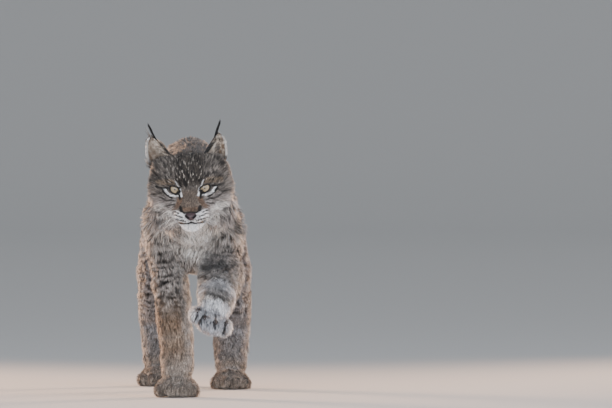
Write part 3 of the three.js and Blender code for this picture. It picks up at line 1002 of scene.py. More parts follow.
    @staticmethod
    def lifted_foot(points: Array, tone: Array, share: Array) -> Array:
        """Colours the lifted foot as it shows from ahead: white rim, grey middle, and dark slits between
        the toes, which are dark fur and painted shade in the gaps.

        Args:
            points: Places in the body's millimetres.
            tone: Colours so far.
            share: How much of the foot is at each place.

        Returns:
            The changed colours.
        """
        flat = points[:, [0, 2]]
        tilt = math.radians(-24)
        along = np.array([math.cos(tilt), math.sin(tilt)])
        rise = np.array([-along[1], along[0]])
        gap = flat - np.array([33, 170])
        reach = np.linalg.norm(np.column_stack([gap @ along / 53, gap @ rise / 34]), axis=1)
        own = np.tile(Tint.PALE_FOOT.light, (len(points), 1))
        own = mix(own, Tint.SOLE.light, 0.6 * ramp(reach, 0.85, 0.5))
        own = mix(own, Tint.WHITE.light, ramp(reach, 0.7, 0.9) * ramp(points[:, 1], -225, -240))
        dark = np.zeros(len(points))
        # Dark fur and painted shade in the gaps between the toes
        slits = ((22, 188), (12, 165)), ((42, 182), (41, 155)), ((66, 168), (61, 144)), ((3, 184), (0, 174))
        for slit in slits:
            dark = np.maximum(dark, stroke(flat, slit, 2.3))
        own = mix(own, Tint.TOE_GAP_FUR_AND_SHADE.light, 0.9 * dark * ramp(points[:, 1], -225, -240))
        return mix(tone, own, ramp(share, 0.2, 0.6))

    def face(self, points: Array, local: Array, lie: Array) -> Array:
        """Colours of the head, painted as they show from ahead.

        Args:
            points: Places in the body's millimetres.
            local: The same in the head's.
            lie: The lie of the coat.

        Returns:
            Linear colours.
        """
        flat = self.body.head.seen(local)
        side, high = flat.T
        front = ramp(local[:, 1], -46, -20)
        tone = np.tile(Tint.TEMPLE.light, (len(points), 1))
        blotch = ramp(cloud(points, 13, SEED + 63), 0.45, 0.7)
        tone = mix(tone, Tint.CROWN.light, 0.7 * blotch * ramp(high, 6, 20))
        crown = ramp(high, -6, 18) * ramp(side, 40, 20)
        tone = mix(tone, Tint.CROWN.light, crown)
        tone = mix(tone, Tint.TAN.light, 0.7 * stroke(flat, ((36, 15), (48, 17), (62, 15)), 6) * front)
        tone = self.crown_streaks(points, lie, tone, high, side)
        cheek = ramp(high, -6, -22) * ramp(side, 24, 34)
        tone = mix(tone, Tint.CHEEK.light, cheek)
        dim = spots(points, lie, 12, (7, 2.4), SEED + 64)
        tone = mix(tone, Tint.BAR.light, 0.45 * dim * cheek * ramp(high, -52, -40))
        waves = ((31, -25), (40, -22), (50, -22), (62, -15)), ((32, -32), (44, -31), (56, -33), (66, -27))
        for line in waves + (((56, -4), (66, -9), (76, -8)),):
            tone = mix(tone, Tint.BAR.light, 0.8 * stroke(flat, line, 1.7) * front)
        locks = ramp(cloud(points, 9, SEED + 65), 0.2, 0.5)
        ruff = stroke(flat, ((46, -62), (56, -50), (64, -40)), 15) * locks
        tone = mix(tone, Tint.CREAM.light, 0.9 * ruff)
        for line in (((63, -46), (72, -43), (79, -44)), ((61, -60), (70, -64), (78, -68))):
            tone = mix(tone, Tint.SPOT.light, 0.85 * stroke(flat, line, 4.2) * ramp(local[:, 1], -76, -40))
        bridge = ramp(side, 20, 13) * ramp(high, 2, -10)
        tone = mix(tone, Tint.BRIDGE.light, bridge * front)
        rust = stroke(flat, ((18.5, -17), (20, -27), (25, -36), (33, -42)), 5.6)
        rust = np.maximum(rust, 0.7 * stroke(flat, ((0, -45), (12, -44)), 4.5))
        tone = mix(tone, Tint.RUST.light, 0.7 * rust * front)
        tone = self.eye_marks(local, flat, tone, front)
        return self.muzzle_marks(points, local, flat, tone)

    def crown_streaks(self, points: Array, lie: Array, tone: Array, high: Array, side: Array) -> Array:
        """Breaks the forehead and crown into fine black and pale ticks.

        Args:
            points: Places in the body's millimetres.
            lie: The lie of the coat.
            tone: Colours so far.
            high: Height as it shows from ahead.
            side: Distance to the side.

        Returns:
            The changed colours.
        """
        middle = ramp(side, 58, 22)
        share = ramp(high, -8, 8) * (0.7 + 0.3 * middle)
        for cell, size, seed in ((11, (8, 2.9), 60), (6, (3.8, 1.9), 61)):
            dark = spots(points, lie, cell, size, SEED + seed)
            tone = mix(tone, Tint.CROWN_DARK.light, 0.9 * dark * share)
        pale = spots(points, lie, 5.5, (3.3, 1.2), SEED + 62)
        return mix(tone, Tint.FLECK.light, 0.55 * pale * share)

    def eye_marks(self, local: Array, flat: Array, tone: Array, front: Array) -> Array:
        """Paints the pale band about each eye, the tear mark and the line behind it.

        Args:
            local: Places in the head's millimetres.
            flat: The same as they show from ahead.
            tone: Colours so far.
            front: How much each place faces ahead.

        Returns:
            The changed colours.
        """
        below = stroke(flat, ((52, 1), (47, -7), (39, -12.5), (31, -14.5), (23, -14)), 2.2)
        inner = stroke(flat, ((16.5, -16), (18, -9), (19.5, -1)), 2.6)
        brow = 0.8 * stroke(flat, ((19.5, -1), (23, 7), (27.5, 13.5), (30, 17)), 1.3)
        white = np.maximum(np.maximum(below, inner), brow)
        tone = mix(tone, Tint.WHITE.light, 0.95 * white * front)
        tear = stroke(flat, ((21.5, -7), (21, -14), (19.5, -22)), 2.5)
        line = stroke(flat, ((46, 4), (55, 3), (68, 7)), 1.9)
        edge = stroke(flat, ((36, -19), (44, -15), (52, -8), (57, 0)), 1.9)
        dark = np.maximum(np.maximum(tear, line), edge)
        tone = mix(tone, Tint.BLACK.light, dark * front)
        for socket in self.sockets:
            out, spot = socket.measure(local)
            thick = 1.5 + 1.8 * ramp(spot[:, 0], 2, -9) + 1.3 * ramp(spot[:, 1], 2, -5)
            tone = mix(tone, Tint.BLACK.light, ramp(out, thick + 0.7, thick - 0.3))
        return tone

    def muzzle_marks(self, points: Array, local: Array, flat: Array, tone: Array) -> Array:
        """Paints the whisker pads with their dark rows, painted shade beside the nose, the lips, the chin
        with painted shadow under it, and the ears.

        Args:
            points: Places in the body's millimetres.
            local: The same in the head's.
            flat: The same as they show from ahead.
            tone: Colours so far.

        Returns:
            The changed colours.
        """
        side, high = flat.T
        pads = ramp(high - 0.3 * side, -53.5, -58) * ramp(side, 43, 38) * ramp(local[:, 1], 0, 12)
        tone = mix(tone, Tint.WHITE.light, pads)
        rows = ((24, -52.5), (39, -45.5)), ((17, -59.5), (33, -55)), ((11, -66.5), (32, -63))
        for k, row in enumerate(rows):
            dashed = 0.75 + 0.25 * ramp(np.sin(side * 1.1 + 2.1 * k), -0.5, 0.2)
            tone = mix(tone, Tint.BLACK.light, stroke(flat, row, 1.9) * dashed * ramp(local[:, 1], 0, 12))
        # Painted shade: dark marks beside the nose's wings, above the nostrils
        nostril_wing_shade = stroke(flat, ((18.4, -40.5), (17.4, -47)), 3.3)
        tone = mix(tone, Tint.BLACK.light, nostril_wing_shade * ramp(local[:, 1], 16, 28))
        rim = stroke(flat, ((17, -47), (12, -52), (0, -50)), 1.6)
        tone = mix(tone, Tint.SPOT.light, 0.9 * rim * ramp(local[:, 1], 24, 38))
        lips = stroke(flat, MOUTH_LINE, 3.6) * ramp(local[:, 1], 2, 14) * ramp(side, 36, 24)
        tone = mix(tone, Tint.BLACK.light, lips)
        # Painted shadow: a darker band under the chin, where the head shades the throat
        under_chin_shadow = ramp(high, -82, -90) * ramp(side, 58, 40)
        tone = mix(tone, Tint.BRIDGE.light, 0.75 * under_chin_shadow)
        chin = ramp(high, -75, -77) * ramp(high, -95, -90) * ramp(side, 30, 26) * ramp(local[:, 1], -12, 2)
        tone = mix(tone, Tint.WHITE.light, chin)
        for ear in self.ears:
            tone = self.ear(ear, points, local, tone)
        return tone

    def ear(self, ear: Ear, points: Array, local: Array, tone: Array) -> Array:
        """Colours one ear: buff inside, black along its inner edge, behind and at the tuft.

        Args:
            ear: Which ear.
            points: Places in the body's millimetres.
            local: The same in the head's.
            tone: Colours so far.

        Returns:
            The changed colours.
        """
        u, v, ahead = ear.coordinates(local)
        on = (np.abs(u) < 1.3) & (v > 0.34) & (local[:, 0] * ear.side.value > 0) & (local[:, 1] < -30)
        inside = ramp(ahead, -2.6, -1.2)
        own = mix(np.tile(Tint.BLACK.light, (len(local), 1)), Tint.EAR_INSIDE.light, inside)
        pale = ramp(cloud(points, 6, SEED + 70), 0.35, 0.65)
        fan = ramp(u - 0.9 * v, 0.2, -0.5)
        own = mix(own, Tint.EAR_HAIR.light, inside * np.maximum(0.45 * pale, fan * (0.4 + 0.6 * pale)))
        patch = ramp(np.abs(u + 0.05), 0.6, 0.35) * ramp(np.abs(v - 0.55), 0.26, 0.12)
        own = mix(own, Tint.TEMPLE.light, (1 - inside) * patch)
        own = mix(own, Tint.BLACK.light, ramp(u, -0.76, -0.9) * ramp(v, 0.35, 0.45))
        own = mix(own, Tint.CREAM.light, ramp(u, 0.82, 0.94) * (0.2 + 0.8 * inside))
        own = mix(own, Tint.CROWN.light, 0.75 * inside * ramp(v, 0.5, 0.36) * ramp(u, 0.2, 0.6))
        own = mix(own, Tint.BLACK.light, ramp(v, 0.93, 0.98) * ramp(u, 0.2, -0.2))
        return mix(tone, own, on * ramp(v, 0.34, 0.44))


# Finishes


def add_node(
    tree: bpy.types.NodeTree, kind: str, inputs: dict[str | int, object] | None = None, **settings: object
) -> bpy.types.Node:
    """Adds a shader node with its settings and links.

    Args:
        tree: The material's node tree.
        kind: Blender's name for the node, without its first word.
        inputs: Values for its sockets, or the sockets of other nodes to link to them.
        settings: Properties of the node.

    Returns:
        The node.
    """
    made = tree.nodes.new("ShaderNode" + kind)
    for key, value in settings.items():
        setattr(made, key, value)
    for key, value in (inputs or {}).items():
        socket = made.inputs[key]
        if isinstance(value, bpy.types.NodeSocket):
            tree.links.new(value, socket)
        else:
            socket.default_value = value
    return made


def new_material(name: str) -> tuple[bpy.types.Material, bpy.types.NodeTree]:
    """Makes an empty material.

    Args:
        name: Its name.

    Returns:
        The material and its node tree.
    """
    made = bpy.data.materials.new(name)
    made.use_nodes = True
    made.node_tree.nodes.clear()
    return made, made.node_tree


def rgba(colour: Iterable[float]) -> tuple[float, ...]:
    """Returns a linear colour with full opacity."""
    return (*colour, 1.0)


@dataclass(frozen=True)
class FurFinish:
    """Guard hair and underfur: keratin, dull, with a faint sheen along its outline.

    Attributes:
        name: Name of the material.
        shade: How much darker than the painted colour it is; below one, painted shade, as for the skin deep
            between the hairs.
        sheen: Strength of the sheen.
    """

    name: str
    shade: float = 1.0
    sheen: float = 0.25

    def make(self) -> bpy.types.Material:
        """Makes the material, which reads the painted coat and varies it from hair to hair.

        Returns:
            The material.
        """
        made, tree = new_material(self.name)
        painted = add_node(tree, "Attribute", attribute_name="coat").outputs["Color"]
        place = add_node(tree, "TexCoord").outputs["Object"]
        # Ticking: bands of light and dark on single hairs, about 3 mm apart
        ticks = add_node(tree, "TexNoise", {"Vector": place, "Scale": 330.0, "Detail": 2.0})
        bands = {"From Min": 0.3, "From Max": 0.7, "To Min": 0.7 * self.shade, "To Max": 1.24 * self.shade}
        strength = add_node(tree, "MapRange", {"Value": ticks.outputs["Fac"], **bands})
        ticked = {"Vector": painted, "Scale": strength.outputs["Result"]}
        varied = add_node(tree, "VectorMath", ticked, operation="SCALE")
        dull = {"Roughness": 0.72, "IOR": 1.5, "Specular IOR Level": 0.35}
        outline = {"Sheen Weight": self.sheen, "Sheen Roughness": 0.5}
        keratin = {"Base Color": varied.outputs["Vector"], **dull, **outline}
        shader = add_node(tree, "BsdfPrincipled", keratin)
        add_node(tree, "OutputMaterial", {"Surface": shader.outputs["BSDF"]})
        return made


@dataclass(frozen=True)
class EyeFinish:
    """A wet eye: a pale yellow-grey iris with fine fibres, a small round pupil, a dark edge.

    Attributes:
        name: Name of the material.
        stops: Colours from the middle of the pupil to the dark edge.
    """

    name: str = "wet_eye"
    stops: tuple[tuple[float, str], ...] = (
        (0.0, "#050403"),
        (0.115, "#050403"),
        (0.145, "#857760"),
        (0.27, "#9c8c71"),
        (0.58, "#ab9a7d"),
        (0.69, "#746650"),
        (0.76, "#2a231b"),
        (0.84, "#0d0a08"),
    )

    def make(self) -> bpy.types.Material:
        """Makes the material, which reads the eye's own map: distance from the gaze.

        Returns:
            The material.
        """
        made, tree = new_material(self.name)
        place = add_node(tree, "UVMap", uv_map="iris").outputs["UV"]
        far = add_node(tree, "VectorMath", {"Vector": place}, operation="LENGTH").outputs["Value"]
        # Fibres run out from the pupil, about half a millimetre apart
        fine = {"Vector": place, "Scale": 26.0, "Detail": 3.0, "Roughness": 0.7}
        fibres = add_node(tree, "TexNoise", fine)
        frayed = {0: fibres.outputs["Fac"], 1: 0.05, 2: far}
        shaken = add_node(tree, "Math", frayed, operation="MULTIPLY_ADD")
        bands = add_node(tree, "ValToRGB", {"Fac": shaken.outputs["Value"]})
        colours = bands.color_ramp.elements
        while len(colours) < len(self.stops):
            colours.new(1.0)
        for element, (where, code) in zip(colours, self.stops):
            element.position = where
            element.color = rgba(linear(code))
        # Painted shadow of the upper lid: the iris darkens upwards, under the brow and lashes
        height = add_node(tree, "SeparateXYZ", {"Vector": place}).outputs["Y"]
        lid_shadow = {"From Min": 0.0, "From Max": 0.45, "To Min": 1.0, "To Max": 0.35}
        shade = add_node(tree, "MapRange", {"Value": height, **lid_shadow}).outputs["Result"]
        shaded = {"Vector": bands.outputs["Color"], "Scale": shade}
        iris = add_node(tree, "VectorMath", shaded, operation="SCALE")
        film = {"Coat Weight": 1.0, "Coat Roughness": 0.02, "Coat IOR": 1.38}
        wet = {"Base Color": iris.outputs["Vector"], "Roughness": 0.18, "IOR": 1.38, **film}
        shader = add_node(tree, "BsdfPrincipled", wet)
        add_node(tree, "OutputMaterial", {"Surface": shader.outputs["BSDF"]})
        return made


@dataclass(frozen=True)
class LeatherFinish:
    """Bare skin: the nose's moist leather, the lids' rims, the lips or the pads.

    Attributes:
        name: Name of the material.
        colour: Its main colour.
        dark: Its colour in the folds between the pebbles: painted shade.
        grain_mm: Size of its pebbles.
        depth_mm: Their height.
        roughness: Lower where it is wetter.
    """

    name: str
    colour: str
    dark: str
    grain_mm: float
    depth_mm: float
    roughness: float

    def make(self) -> bpy.types.Material:
        """Makes the material, with pebbled grain in its relief, and painted shade in the folds between the
        pebbles.

        Returns:
            The material.
        """
        made, tree = new_material(self.name)
        place = add_node(tree, "TexCoord").outputs["Object"]
        pebbles = add_node(tree, "TexVoronoi", {"Vector": place, "Scale": 1000.0 / self.grain_mm})
        folds = pebbles.outputs["Distance"]
        # Painted shade: the colour darkens towards the folds between the pebbles
        colours = {"Factor": folds, "A": rgba(linear(self.colour)), "B": rgba(linear(self.dark))}
        tone = add_node(tree, "Mix", colours, data_type="RGBA")
        grain = {"Height": folds, "Strength": 0.6, "Distance": self.depth_mm * MM}
        relief = add_node(tree, "Bump", grain, invert=True)
        skin = {"Base Color": tone.outputs["Result"], "Normal": relief.outputs["Normal"]}
        shader = add_node(tree, "BsdfPrincipled", {**skin, "Roughness": self.roughness, "IOR": 1.42})
        add_node(tree, "OutputMaterial", {"Surface": shader.outputs["BSDF"]})
        return made


@dataclass(frozen=True)
class PlainFinish:
    """One even colour, for whiskers and for the studio's floor.

    Attributes:
        name: Name of the material.
        colour: Its colour.
        roughness: Its roughness.
    """

    name: str
    colour: str
    roughness: float

    def make(self) -> bpy.types.Material:
        """Makes the material.

        Returns:
            The material.
        """
        made, tree = new_material(self.name)
        even = {"Base Color": rgba(linear(self.colour)), "Roughness": self.roughness}
        shader = add_node(tree, "BsdfPrincipled", even)
        add_node(tree, "OutputMaterial", {"Surface": shader.outputs["BSDF"]})
        return made


# Skin


FLESH = (
    "torso neck head tail tail_tip "
    "upper_arm_left forearm_left forepaw_left upper_arm_right forearm_right forepaw_right "
    "thigh_left shank_left hindpaw_left thigh_right shank_right hindpaw_right"
).split()
FILLERS = ["eye_left", "eye_right", "nose"]


@dataclass
class Skin:
    """One closed skin inside the coat, from the solids of the flesh, with fine ears and lids.

    Attributes:
        body: Gives the frames and the depth of the coat.
        voxel_mm: Size of its faces.
        fuse_mm: How far the solids are swollen so that they fuse.
        thin_mm: How far the skin is first drawn in, which drops locks and thin edges.
        rounds: Smoothing passes that take out the solids' facets.
        slim_mm: How much deeper the skin lies on the flanks, whose hair stands off.
        made: The finished object.
    """

    body: Body
    voxel_mm: float = 4.0
    fuse_mm: float = 0.6
    thin_mm: float = 3.2
    rounds: int = 9
    slim_mm: float = 10.0
    made: bpy.types.Object = field(init=False)

    def build(self) -> None:
        """Makes the skin and hides the solids that it stands for."""
        self.made = self.fused()
        self.draw_in(np.full(len(self.made.data.vertices), self.thin_mm))
        worn(self.made, "REMESH", mode="VOXEL", voxel_size=self.voxel_mm * MM)
        worn(self.made, "SMOOTH", factor=0.5, iterations=self.rounds)
        points = self.body.to_body(vertex_places(self.made.data))
        weights = self.body.weights(points)
        depth = self.body.hair(points, weights)[:, 0]
        outward = vertex_normals(self.made.data)[:, 0] * np.sign(points[:, 0] + 8)
        flank = (1 - weights[:, -1]) * np.clip(outward, 0, 1) ** 2
        depth += self.slim_mm * flank * ramp(points[:, 2], 130, 330)
        self.draw_in(np.maximum(depth - self.thin_mm, 0))
        worn(self.made, "SMOOTH", factor=0.5, iterations=4)
        self.refine_face()
        self.shape_face()
        self.add_ears_and_lids()
        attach(self.made, "root")
        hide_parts(*FLESH, "ear_left", "ear_right")

    def fused(self) -> bpy.types.Object:
        """Fuses the solids.

        Returns:
            One voxel shell round all the flesh.
        """
        whole = bmesh.new()
        for name in FLESH + FILLERS:
            part = bmesh.new()
            part.from_mesh(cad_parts[name].data)
            bmesh.ops.remove_doubles(part, verts=part.verts, dist=1e-6)
            part.normal_update()
            for vert in part.verts:
                vert.co += vert.normal * self.fuse_mm * MM
            spare = bpy.data.meshes.new("part")
            part.to_mesh(spare)
            part.free()
            whole.from_mesh(spare)
            bpy.data.meshes.remove(spare)
        made = mesh_object("skin", whole)
        worn(made, "REMESH", mode="VOXEL", voxel_size=self.voxel_mm * MM)
        return made

    def draw_in(self, millimetres: Array) -> None:
        """Moves each vertex inwards by its own amount."""
        mesh = self.made.data
        set_places(mesh, vertex_places(mesh) - vertex_normals(mesh) * millimetres[:, None] * MM)

    def refine_face(self) -> None:
        """Divides the faces ahead of the ears once more, where the forms are small."""
        bm = bmesh.new()
        bm.from_mesh(self.made.data)
        points = self.body.to_body(np.array([v.co for v in bm.verts]))
        local = self.body.head.to_local(points)
        near = (local[:, 1] > -34) & (np.abs(local[:, 0]) < 80) & (np.abs(local[:, 2] + 15) < 90)
        edges = [e for e in bm.edges if near[e.verts[0].index] and near[e.verts[1].index]]
        bmesh.ops.subdivide_edges(bm, edges=edges, cuts=1, use_grid_fill=True, smooth=0.6)
        bmesh.ops.triangulate(bm, faces=[f for f in bm.faces if len(f.verts) > 4])
        bm.to_mesh(self.made.data)
        bm.free()
        self.made.data.shade_smooth()

    def shape_face(self) -> None:
        """Seats the skin behind the eyes, and sinks the mouth's line and the groove above it."""
        mesh = self.made.data
        local = self.body.head.to_local(self.body.to_body(vertex_places(mesh)))
        for side in Side:
            socket = EyeSocket(side)
            gap = local - socket.centre()
            far = np.linalg.norm(gap, axis=1)
            facing = unit(gap) @ socket.axes()[2]
            seat = (facing > 0.45) & (far < socket.radius + 9)
            limit = socket.radius - 1.6 + 5.0 * ramp(facing, 0.72, 0.5)
            drawn = socket.centre() + unit(gap) * np.minimum(far, limit)[:, None]
            local = np.where(seat[:, None], drawn, local)
        flat = self.body.head.seen(local)
        ahead = ramp(local[:, 1], 2, 16)
        mouth = stroke(flat, MOUTH_LINE, 3.2) * 3.0 + stroke(flat, ((0, -66), (0, -73)), 2.4) * 1.6
        local[:, 1] -= mouth * ahead
        set_places(mesh, self.body.head_to_scene(local))

    def add_ears_and_lids(self) -> None:
        """Joins the finely made ears and lids to the skin."""
        bm = bmesh.new()
        bm.from_mesh(self.made.data)
        for side in Side:
            Ear(side).build(bm, self.body)
            EyeSocket(side).build_lids(bm, self.body)
        bm.to_mesh(self.made.data)
        bm.free()
        self.made.data.shade_smooth()

    def dress(self, markings: Markings) -> None:
        """Paints the skin with the same markings as the coat, darkened by painted shade, as it shows only
        deep between the hairs.

        Args:
            markings: Gives the colours.
        """
        mesh = self.made.data
        points = self.body.to_body(vertex_places(mesh))
        normals = vertex_normals(mesh)
        weights = self.body.weights(points)
        lie = self.body.lie(points, normals, weights)
        paint(mesh, markings.colours(points, normals, lie, weights))
        # Painted shade: the skin is darkened, as it shows only deep between the hairs
        mesh.materials.append(FurFinish("underfur", shade=0.62).make())


# Coat


# One tuft: where its seven corners lie on its patch of the map, its two quads and its tip, and
# the first corner of each of these
TUFT_FORM = np.array(
    [[-0.5, -0.5], [0.5, -0.5], [-0.5, -0.1], [0.5, -0.1], [-0.4, 0.3], [0.4, 0.3], [0, 0.5]]
)
TUFT_CORNERS = np.array([0, 1, 3, 2, 2, 3, 5, 4, 4, 5, 6])
TUFT_STARTS = np.array([0, 4, 8])
# Its stations from the root to the tip: way along, share of the rise, share of the width, shade
TUFT_STATIONS = (
    (-0.04, -0.12, 0.8, 0.45),
    (0.3, 0.55, 1.0, 0.8),
    (0.68, 0.98, 0.68, 1.06),
    (1.0, 1.0, 0.0, 1.2),
)
FLOOR_GAP_MM = 0.4
MAP_PATCH = 0.003
# Tufts shorter than this lie flat, and longer ones hang together
SHORT_MM = 26
CLUMP_SEED = 8


@dataclass
class Tufts:
    """Places and forms of many tufts of hair, in the body's millimetres.

    Attributes:
        roots: Where they grow.
        normals: The skin's outward directions there.
        lie: The way they lie.
        length: Their lengths.
        width: Their widths.
        rise: How far their tips stand off the skin.
        maps: Their places on the unwrap of the skin.
        colours: Their colours near the root, further out and at the tip, once they are painted.
    """

    roots: Array
    normals: Array
    lie: Array
    length: Array
    width: Array
    rise: Array
    maps: Array
    colours: Array | None = None

    def clump_mm(self) -> float:
        """Returns the size of the clumps that tufts of this length fall into."""
        return 5 + 0.45 * float(np.median(self.length))

    def build(self, name: str, body: Body, seed: int) -> bpy.types.Object:
        """Makes one mesh of flat, tapered, bent tufts.

        Args:
            name: Name of the piece.
            body: Gives the frame.
            seed: For the small differences between hairs.

        Returns:
            The object.
        """
        draw = np.random.default_rng(seed)
        count = len(self.roots)
        across = unit(np.cross(self.lie, self.normals))
        twist = draw.normal(0, 0.35, count)[:, None]
        across = unit(across + twist * self.normals)
        places, shades = [], []
        tips = draw.uniform(0.6, 1.6, count)
        painted = self.colours[[0, 0, 1, 2]]
        for (along, high, wide, shade), own in zip(TUFT_STATIONS, painted):
            middle = self.roots + self.lie * (along * self.length)[:, None]
            middle = middle + self.normals * (high * self.rise)[:, None]
            half = across * (0.5 * wide * self.width)[:, None]
            tint = own * (shade * (1 + (tips - 1) * max(along, 0)))[:, None]
            places += [middle - half, middle + half] if wide else [middle]
            shades += [tint, tint] if wide else [tint]
        stack = body.to_scene(np.stack(places, axis=1).reshape(-1, 3))
        stack[:, 2] = np.maximum(stack[:, 2], FLOOR_GAP_MM * MM)
        mesh = self.joined(name, stack, count)
        paint(mesh, np.stack(shades, axis=1).reshape(-1, 3))
        self.lay_out(mesh)
        made = bpy.data.objects.new(name, mesh)
        bpy.context.scene.collection.objects.link(made)
        return made

    @staticmethod
    def joined(name: str, places: Array, count: int) -> bpy.types.Mesh:
        """Joins the tufts into one mesh of two quads and a tip each.

        Args:
            name: Name of the mesh.
            places: Their corners, in metres.
            count: How many tufts there are.

        Returns:
            The mesh.
        """
        number = np.arange(count)[:, None]
        corners = (TUFT_CORNERS[None] + len(TUFT_FORM) * number).ravel()
        starts = (TUFT_STARTS[None] + len(TUFT_CORNERS) * number).ravel()
        mesh = bpy.data.meshes.new(name)
        mesh.vertices.add(len(places))
        mesh.vertices.foreach_set("co", places.ravel())
        mesh.loops.add(len(corners))
        mesh.loops.foreach_set("vertex_index", corners.astype(np.int32))
        mesh.polygons.add(len(starts))
        mesh.polygons.foreach_set("loop_start", starts.astype(np.int32))
        mesh.update(calc_edges=True)
        mesh.shade_smooth()
        return mesh

    def lay_out(self, mesh: bpy.types.Mesh) -> None:
        """Gives each tuft a small patch at its root's place on the skin's unwrap.

        Args:
            mesh: The joined tufts.
        """
        form = TUFT_FORM[TUFT_CORNERS][None] * MAP_PATCH
        spread = self.maps[:, None, :] * (1 - MAP_PATCH) + MAP_PATCH / 2 + form
        layer = mesh.uv_layers.new(name="OFBake")
        layer.uv.foreach_set("vector", spread.astype(np.float32).ravel())


@dataclass
class Coat:
    """The winter coat: joined pieces of tufts that grow from the skin along its lie.

    Attributes:
        body: Gives the frames and the growth.
        skin: What it grows from.
        markings: Its colours.
        most: The most tufts in one piece, which keeps it under 200,000 triangles.
    """

    body: Body
    skin: Skin
    markings: Markings
    most: int = 39000

    @staticmethod
    def triangles(mesh: bpy.types.Mesh) -> Array:
        """Splits the skin into triangles.

        Args:
            mesh: The skin.

        Returns:
            The corners of each triangle.
        """
        mesh.calc_loop_triangles()
        count = len(mesh.loop_triangles)
        corners = np.empty(count * 3, np.int32)
        mesh.loop_triangles.foreach_get("vertices", corners)
        return corners.reshape(-1, 3)

    @staticmethod
    def unwrap(corners: Array, places: Array) -> Array:
        """Unwraps a part of the skin by its own shape.

        Args:
            corners: The part's triangles.
            places: Places of all vertices, in metres.

        Returns:
            The map places of each triangle's corners.
        """
        used, packed = np.unique(corners, return_inverse=True)
        mesh = bpy.data.meshes.new("unwrap")
        mesh.from_pydata(places[used].tolist(), [], packed.reshape(-1, 3).tolist())
        spare = bpy.data.objects.new("unwrap", mesh)
        bpy.context.scene.collection.objects.link(spare)
        bpy.context.view_layer.objects.active = spare
        bpy.ops.object.select_all(action="DESELECT")
        spare.select_set(True)
        bpy.ops.object.mode_set(mode="EDIT")
        bpy.ops.mesh.select_all(action="SELECT")
        bpy.ops.uv.smart_project(angle_limit=math.radians(60), island_margin=MAP_PATCH)
        bpy.ops.object.mode_set(mode="OBJECT")
        flat = np.empty(len(mesh.loops) * 2, np.float32)
        mesh.uv_layers.active.uv.foreach_get("vector", flat)
        bpy.data.objects.remove(spare)
        bpy.data.meshes.remove(mesh)
        return flat.reshape(-1, 3, 2)

    def grow(self) -> None:
        """Grows the coat, patch by patch."""
        mesh = self.skin.made.data
        corners, vertex_out = self.triangles(mesh), vertex_normals(mesh)
        places = vertex_places(mesh)
        centres = self.body.to_body(places[corners].mean(axis=1))
        weights = self.body.weights(centres)
        growth = self.body.hair(centres, weights)
        on_ear = EarCoat(self.body).ear_share(centres)
        growth = mix(growth, EAR_SHEET_HAIR.row(), on_ear)
        patch = self.body.patch_of(weights)
        patch = np.where(on_ear > 0.5, self.body.patches.index(Patch.EARS), patch)
        sides = places[corners]
        area = np.linalg.norm(np.cross(sides[:, 1] - sides[:, 0], sides[:, 2] - sides[:, 0]), axis=1)
        # Half the cross product is the area, and a square metre has 10,000 square centimetres
        wanted = area * 0.5 * 1e4 * growth[:, 3] * self.bare(centres)
        finish = FurFinish("winter_coat").make()
        for number, kind in enumerate(self.body.patches):
            chosen = np.flatnonzero(patch == number)
            if not len(chosen):
                continue
            count = int(wanted[chosen].sum())
            parts = max(1, math.ceil(count / self.most))
            order = np.argsort(centres[chosen, 1])
            for k, part in enumerate(np.array_split(order, parts)):
                name = f"coat_{kind.value}" + (f"_{k + 1}" if parts > 1 else "")
                picked = chosen[part]
                made = self.piece(name, picked, corners, places, vertex_out, wanted, number * 10 + k)
                made.data.materials.append(finish)
                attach(made, "root")

    def bare(self, points: Array) -> Array:
        """Keeps hair out of the eyes' openings, off the nose and off the lips.

        Args:
            points: Places in the body's millimetres.

        Returns:
            0 where no hair grows, and 1 elsewhere.
        """
        local = self.body.head.to_local(points)
        keep = np.ones(len(points))
        for side in Side:
            out, _ = EyeSocket(side).measure(local)
            keep *= ramp(out, 0.8, 1.6)
        nose = np.linalg.norm((local - np.array(NOSE_CENTRE)) / [11.5, 12, 8.2], axis=1)
        lips = stroke(self.body.head.seen(local), MOUTH_LINE, 1.9) * ramp(local[:, 1], 4, 16)
        return keep * ramp(nose, 0.95, 1.1) * (1 - lips)

    def piece(
        self,
        name: str,
        picked: Array,
        corners: Array,
        places: Array,
        vertex_out: Array,
        wanted: Array,
        number: int,
    ) -> bpy.types.Object:
        """Makes one piece of the coat.

        Args:
            name: Name of the piece.
            picked: The triangles that it grows from.
            corners: All triangles.
            places: All vertices, in metres.
            vertex_out: Their outward directions.
            wanted: Tufts wanted on each triangle.
            number: Seeds the piece's random draws.

        Returns:
            The object.
        """
        draw = np.random.default_rng(SEED + number)
        maps = self.unwrap(corners[picked], places)
        share = wanted[picked] / wanted[picked].sum()
        count = min(int(wanted[picked].sum()), self.most)
        which = draw.choice(len(picked), count, p=share)
        a, b = draw.random(count), draw.random(count)
        a, b = np.where(a + b > 1, 1 - a, a), np.where(a + b > 1, 1 - b, b)
        blend = np.stack([1 - a - b, a, b], axis=1)
        ids = corners[picked][which]
        roots = self.body.to_body(np.einsum("ij,ijk->ik", blend, places[ids]))
        normals = unit(np.einsum("ij,ijk->ik", blend, vertex_out[ids]))
        flat = np.einsum("ij,ijk->ik", blend, maps[which])
        weights = self.body.weights(roots)
        lie = self.body.lie(roots, normals, weights)
        depth, length, width, _ = self.body.hair(roots, weights).T
        lie, depth, length, width = EarCoat(self.body).apply(roots, normals, lie, depth, length, width)
        tufts = self.ruffle(Tufts(roots, normals, lie, length, width, depth, flat), draw)
        tufts.colours = self.coloured(tufts, lie, draw)
        made = tufts.build(name, self.body, SEED + number)
        log.info("%s: %d tufts", name, count)
        return made

